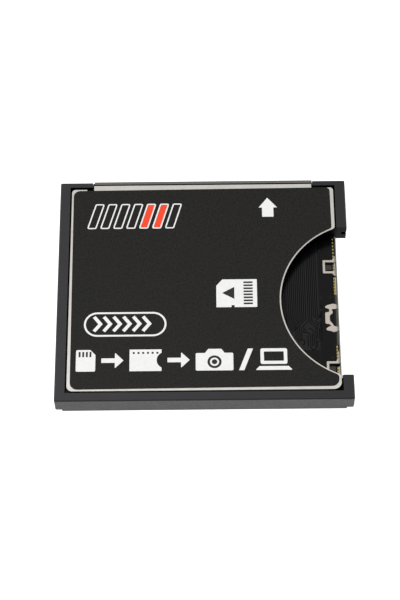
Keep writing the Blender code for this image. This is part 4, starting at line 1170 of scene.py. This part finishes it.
def header_housing():
    """The header's housing with its flared holes and the reliefs at its ends."""
    settings = sizes()
    front, radius, flare = HEADER_HIGH.y, settings.socket_radius, settings.socket_flare
    body = bmesh.new()
    prism(body, header_body(), HEADER_LOW.x, HEADER_HIGH.x, "X")
    cuts = bmesh.new()
    for x, z in socket_places():
        hole, mouth = circle(x, z, radius, 24), circle(x, z, radius + flare, 24)
        skin(cuts, [(14.3, hole), (front - flare, hole), (front + 0.01, mouth), (front + 0.5, mouth)], "Y")
    for x0, x1 in header_ends():
        relief = rectangle(x0, x1, HEADER_LOW.y - 1, front + 1)
        prism(cuts, relief, THICKNESS - HEADER_RELIEF_HEIGHT, THICKNESS + 1)
    return subtract("socket_header", body, cuts)


def socket_linings():
    """Gold lining in each hole."""
    radius = sizes().socket_radius
    mesh = bmesh.new()
    for x, z in socket_places():
        outer, inner = circle(x, z, radius - 0.015, 16), circle(x, z, radius - 0.09, 16)
        hoop(mesh, outer, inner, 14.4, HEADER_HIGH.y - 0.35, "Y")
    return mesh


def header_tails():
    """Row of bent tails behind the header, standing on the board."""
    low, rise, thick = ON_BOARD, 0.45, 0.12
    section = [
        (11.2, low), (11.8, low), (12.04, low + rise), (12.7, low + rise),
        (12.7, low + rise + thick), (11.98, low + rise + thick), (11.74, low + thick), (11.2, low + thick),
    ]
    mesh = bmesh.new()
    count = 2 * sizes().socket_columns
    for i in range(count):
        x = (i - (count - 1) / 2) * sizes().socket_pitch / 2
        prism(mesh, section, x - 0.15, x + 0.15, "X")
    return mesh


class ADAPTER_OT_header(bpy.types.Operator):
    """Build the socket header with its flared holes, contacts and tails"""

    bl_idname = "adapter.header"
    bl_label = "Socket header"

    def execute(self, context):
        header = piece("socket_header", header_housing(), "grey_plastic", "grey_plastic", "cf_header")
        finish_faces(header, ("shaded_plastic",), in_header_gap)
        piece("socket_contacts", socket_linings(), "gold_plating", "gold_plating")
        piece("header_tails", header_tails(), "tinned_metal", "gold_plating")
        return {"FINISHED"}


class ADAPTER_OT_contacts(bpy.types.Operator):
    """Dress the contact comb, the spring contacts and the leaf springs"""

    bl_idname = "adapter.contacts"
    bl_label = "Card contacts"

    def execute(self, context):
        dress("sd_contact_comb", "black_plastic", sizes().moulded_edge, 2)
        springs = [f"sd_contact_{i}" for i in range(1, 10)]
        for node in springs + ["card_detect_spring", "write_protect_spring"]:
            dress(node, "gold_plating")
        return {"FINISHED"}


class ADAPTER_OT_chips(bpy.types.Operator):
    """Dress the chips on the board"""

    bl_idname = "adapter.chips"
    bl_label = "Chips"

    def execute(self, context):
        edge = sizes().chip_edge
        for node in ("controller_chip", "voltage_regulator"):
            dress(node, "chip_epoxy", edge)
        dress("crystal", "stainless_sheet", edge, 2)
        for i in range(1, 9):
            dress(f"capacitor_{i}", "capacitor_ceramic", edge)
        for i in range(1, 7):
            dress(f"resistor_{i}", "resistor_film", edge)
        return {"FINISHED"}


# Stage


def camera_matrix():
    """The camera's place and turn, as fitted to the photograph."""
    angles = (CAMERA_AZIMUTH, "Z"), (90 - CAMERA_ELEVATION, "X"), (CAMERA_ROLL, "Z")
    turn, tilt, roll = (Matrix.Rotation(math.radians(angle), 4, axis) for angle, axis in angles)
    back = Matrix.Translation((0, 0, CAMERA_DISTANCE * MM))
    return Matrix.Translation(Vector(CAMERA_AIM) * MM) @ turn @ tilt @ roll @ back


def studio_sky(settings):
    """World that is bright above and behind the adapter and dim low in front of it."""
    world = bpy.data.worlds.new("studio")
    world.use_nodes = True
    tree = world.node_tree
    place = add_node(tree, "TexCoord").outputs["Generated"]
    along = vector_maths(tree, "DOT_PRODUCT", place, Vector(BRIGHT_SKY).normalized())["Value"]
    strength = ramp(tree, along, DUSK_LEVEL, SKY_LEVEL, settings.dusk, settings.sky)
    strength.interpolation_type = "SMOOTHSTEP"
    fill(tree.nodes["Background"], Color=(1.0, 1.0, 1.0, 1.0), Strength=strength.outputs[0])
    return world


def softbox(power):
    """Square light above the adapter, aimed at it, with its power in watts."""
    data = bpy.data.lights.new("key_softbox", "AREA")
    configure(data, shape="SQUARE", size=KEY_SIDE, energy=power)
    aim = (-Vector(KEY_PLACE)).to_track_quat("-Z", "Y").to_euler()
    configure(place_object("key_softbox", data), location=KEY_PLACE, rotation_euler=aim)


def paper_floor(settings):
    """Pale floor that glows a little, as paper lit from below does."""
    mesh = bmesh.new()
    bmesh.ops.create_grid(mesh, x_segments=1, y_segments=1, size=FLOOR_REACH)
    floor = new_object("floor", mesh)
    paper = Finish("floor_paper", settings.floor, 0.9)
    paper.tint(paper.grain(0.05, 2.0), scaled(settings.floor, 0.97))
    paper.set(Specular_IOR_Level=0.1, Emission_Color=(1.0, 1.0, 1.0, 1.0), Emission_Strength=settings.glow)
    floor.data.materials.append(paper.material)
    return floor


def photo_camera():
    """Camera with the photograph's place, turn and focal length."""
    data = bpy.data.cameras.new("photo_camera")
    lens = CAMERA_FOCAL / PHOTO_HEIGHT * FILM_WIDTH
    configure(data, sensor_width=FILM_WIDTH, lens=lens, clip_start=0.01, clip_end=10.0)
    return configure(place_object("photo_camera", data), matrix_world=camera_matrix())


class ADAPTER_OT_stage(bpy.types.Operator):
    """Set up the floor, the light and the camera"""

    bl_idname = "adapter.stage"
    bl_label = "Stage"

    def execute(self, context):
        scene = context.scene
        settings = scene.adapter_stage
        floor = paper_floor(settings)
        scene.world = studio_sky(settings)
        softbox(settings.key)
        scene.camera = photo_camera()
        scene.view_settings.view_transform = "Standard"
        return {"FINISHED"}


OPERATORS = (
    ADAPTER_OT_frame,
    ADAPTER_OT_covers,
    ADAPTER_OT_label,
    ADAPTER_OT_board,
    ADAPTER_OT_header,
    ADAPTER_OT_contacts,
    ADAPTER_OT_chips,
    ADAPTER_OT_stage,
)
SETTINGS = (
    ("adapter_sizes", AdapterSizes),
    ("adapter_finishes", AdapterFinishes),
    ("adapter_stage", AdapterStage),
)


class ADAPTER_PT_panel(bpy.types.Panel):
    """The adapter's pieces, sizes and finishes"""

    bl_idname = "ADAPTER_PT_panel"
    bl_label = "Memory card adapter"
    bl_space_type = "VIEW_3D"
    bl_region_type = "UI"
    bl_category = "Adapter"

    def draw(self, context):
        for operator in OPERATORS:
            self.layout.operator(operator.bl_idname)
        for name, kind in SETTINGS:
            box = self.layout.box()
            for key in kind.__annotations__:
                box.prop(getattr(context.scene, name), key)


def register():
    """Register the settings, the operators and the panel."""
    for name, kind in SETTINGS:
        bpy.utils.register_class(kind)
        setattr(bpy.types.Scene, name, PointerProperty(type=kind))
    for operator in OPERATORS:
        bpy.utils.register_class(operator)
    bpy.utils.register_class(ADAPTER_PT_panel)


def unregister():
    """Take them away again."""
    bpy.utils.unregister_class(ADAPTER_PT_panel)
    for operator in reversed(OPERATORS):
        bpy.utils.unregister_class(operator)
    for name, kind in reversed(SETTINGS):
        delattr(bpy.types.Scene, name)
        bpy.utils.unregister_class(kind)


def main():
    """Build every piece in order."""
    register()
    for operator in OPERATORS:
        group, name = operator.bl_idname.split(".")
        getattr(getattr(bpy.ops, group), name)()


if __name__ == "__main__":
    main()
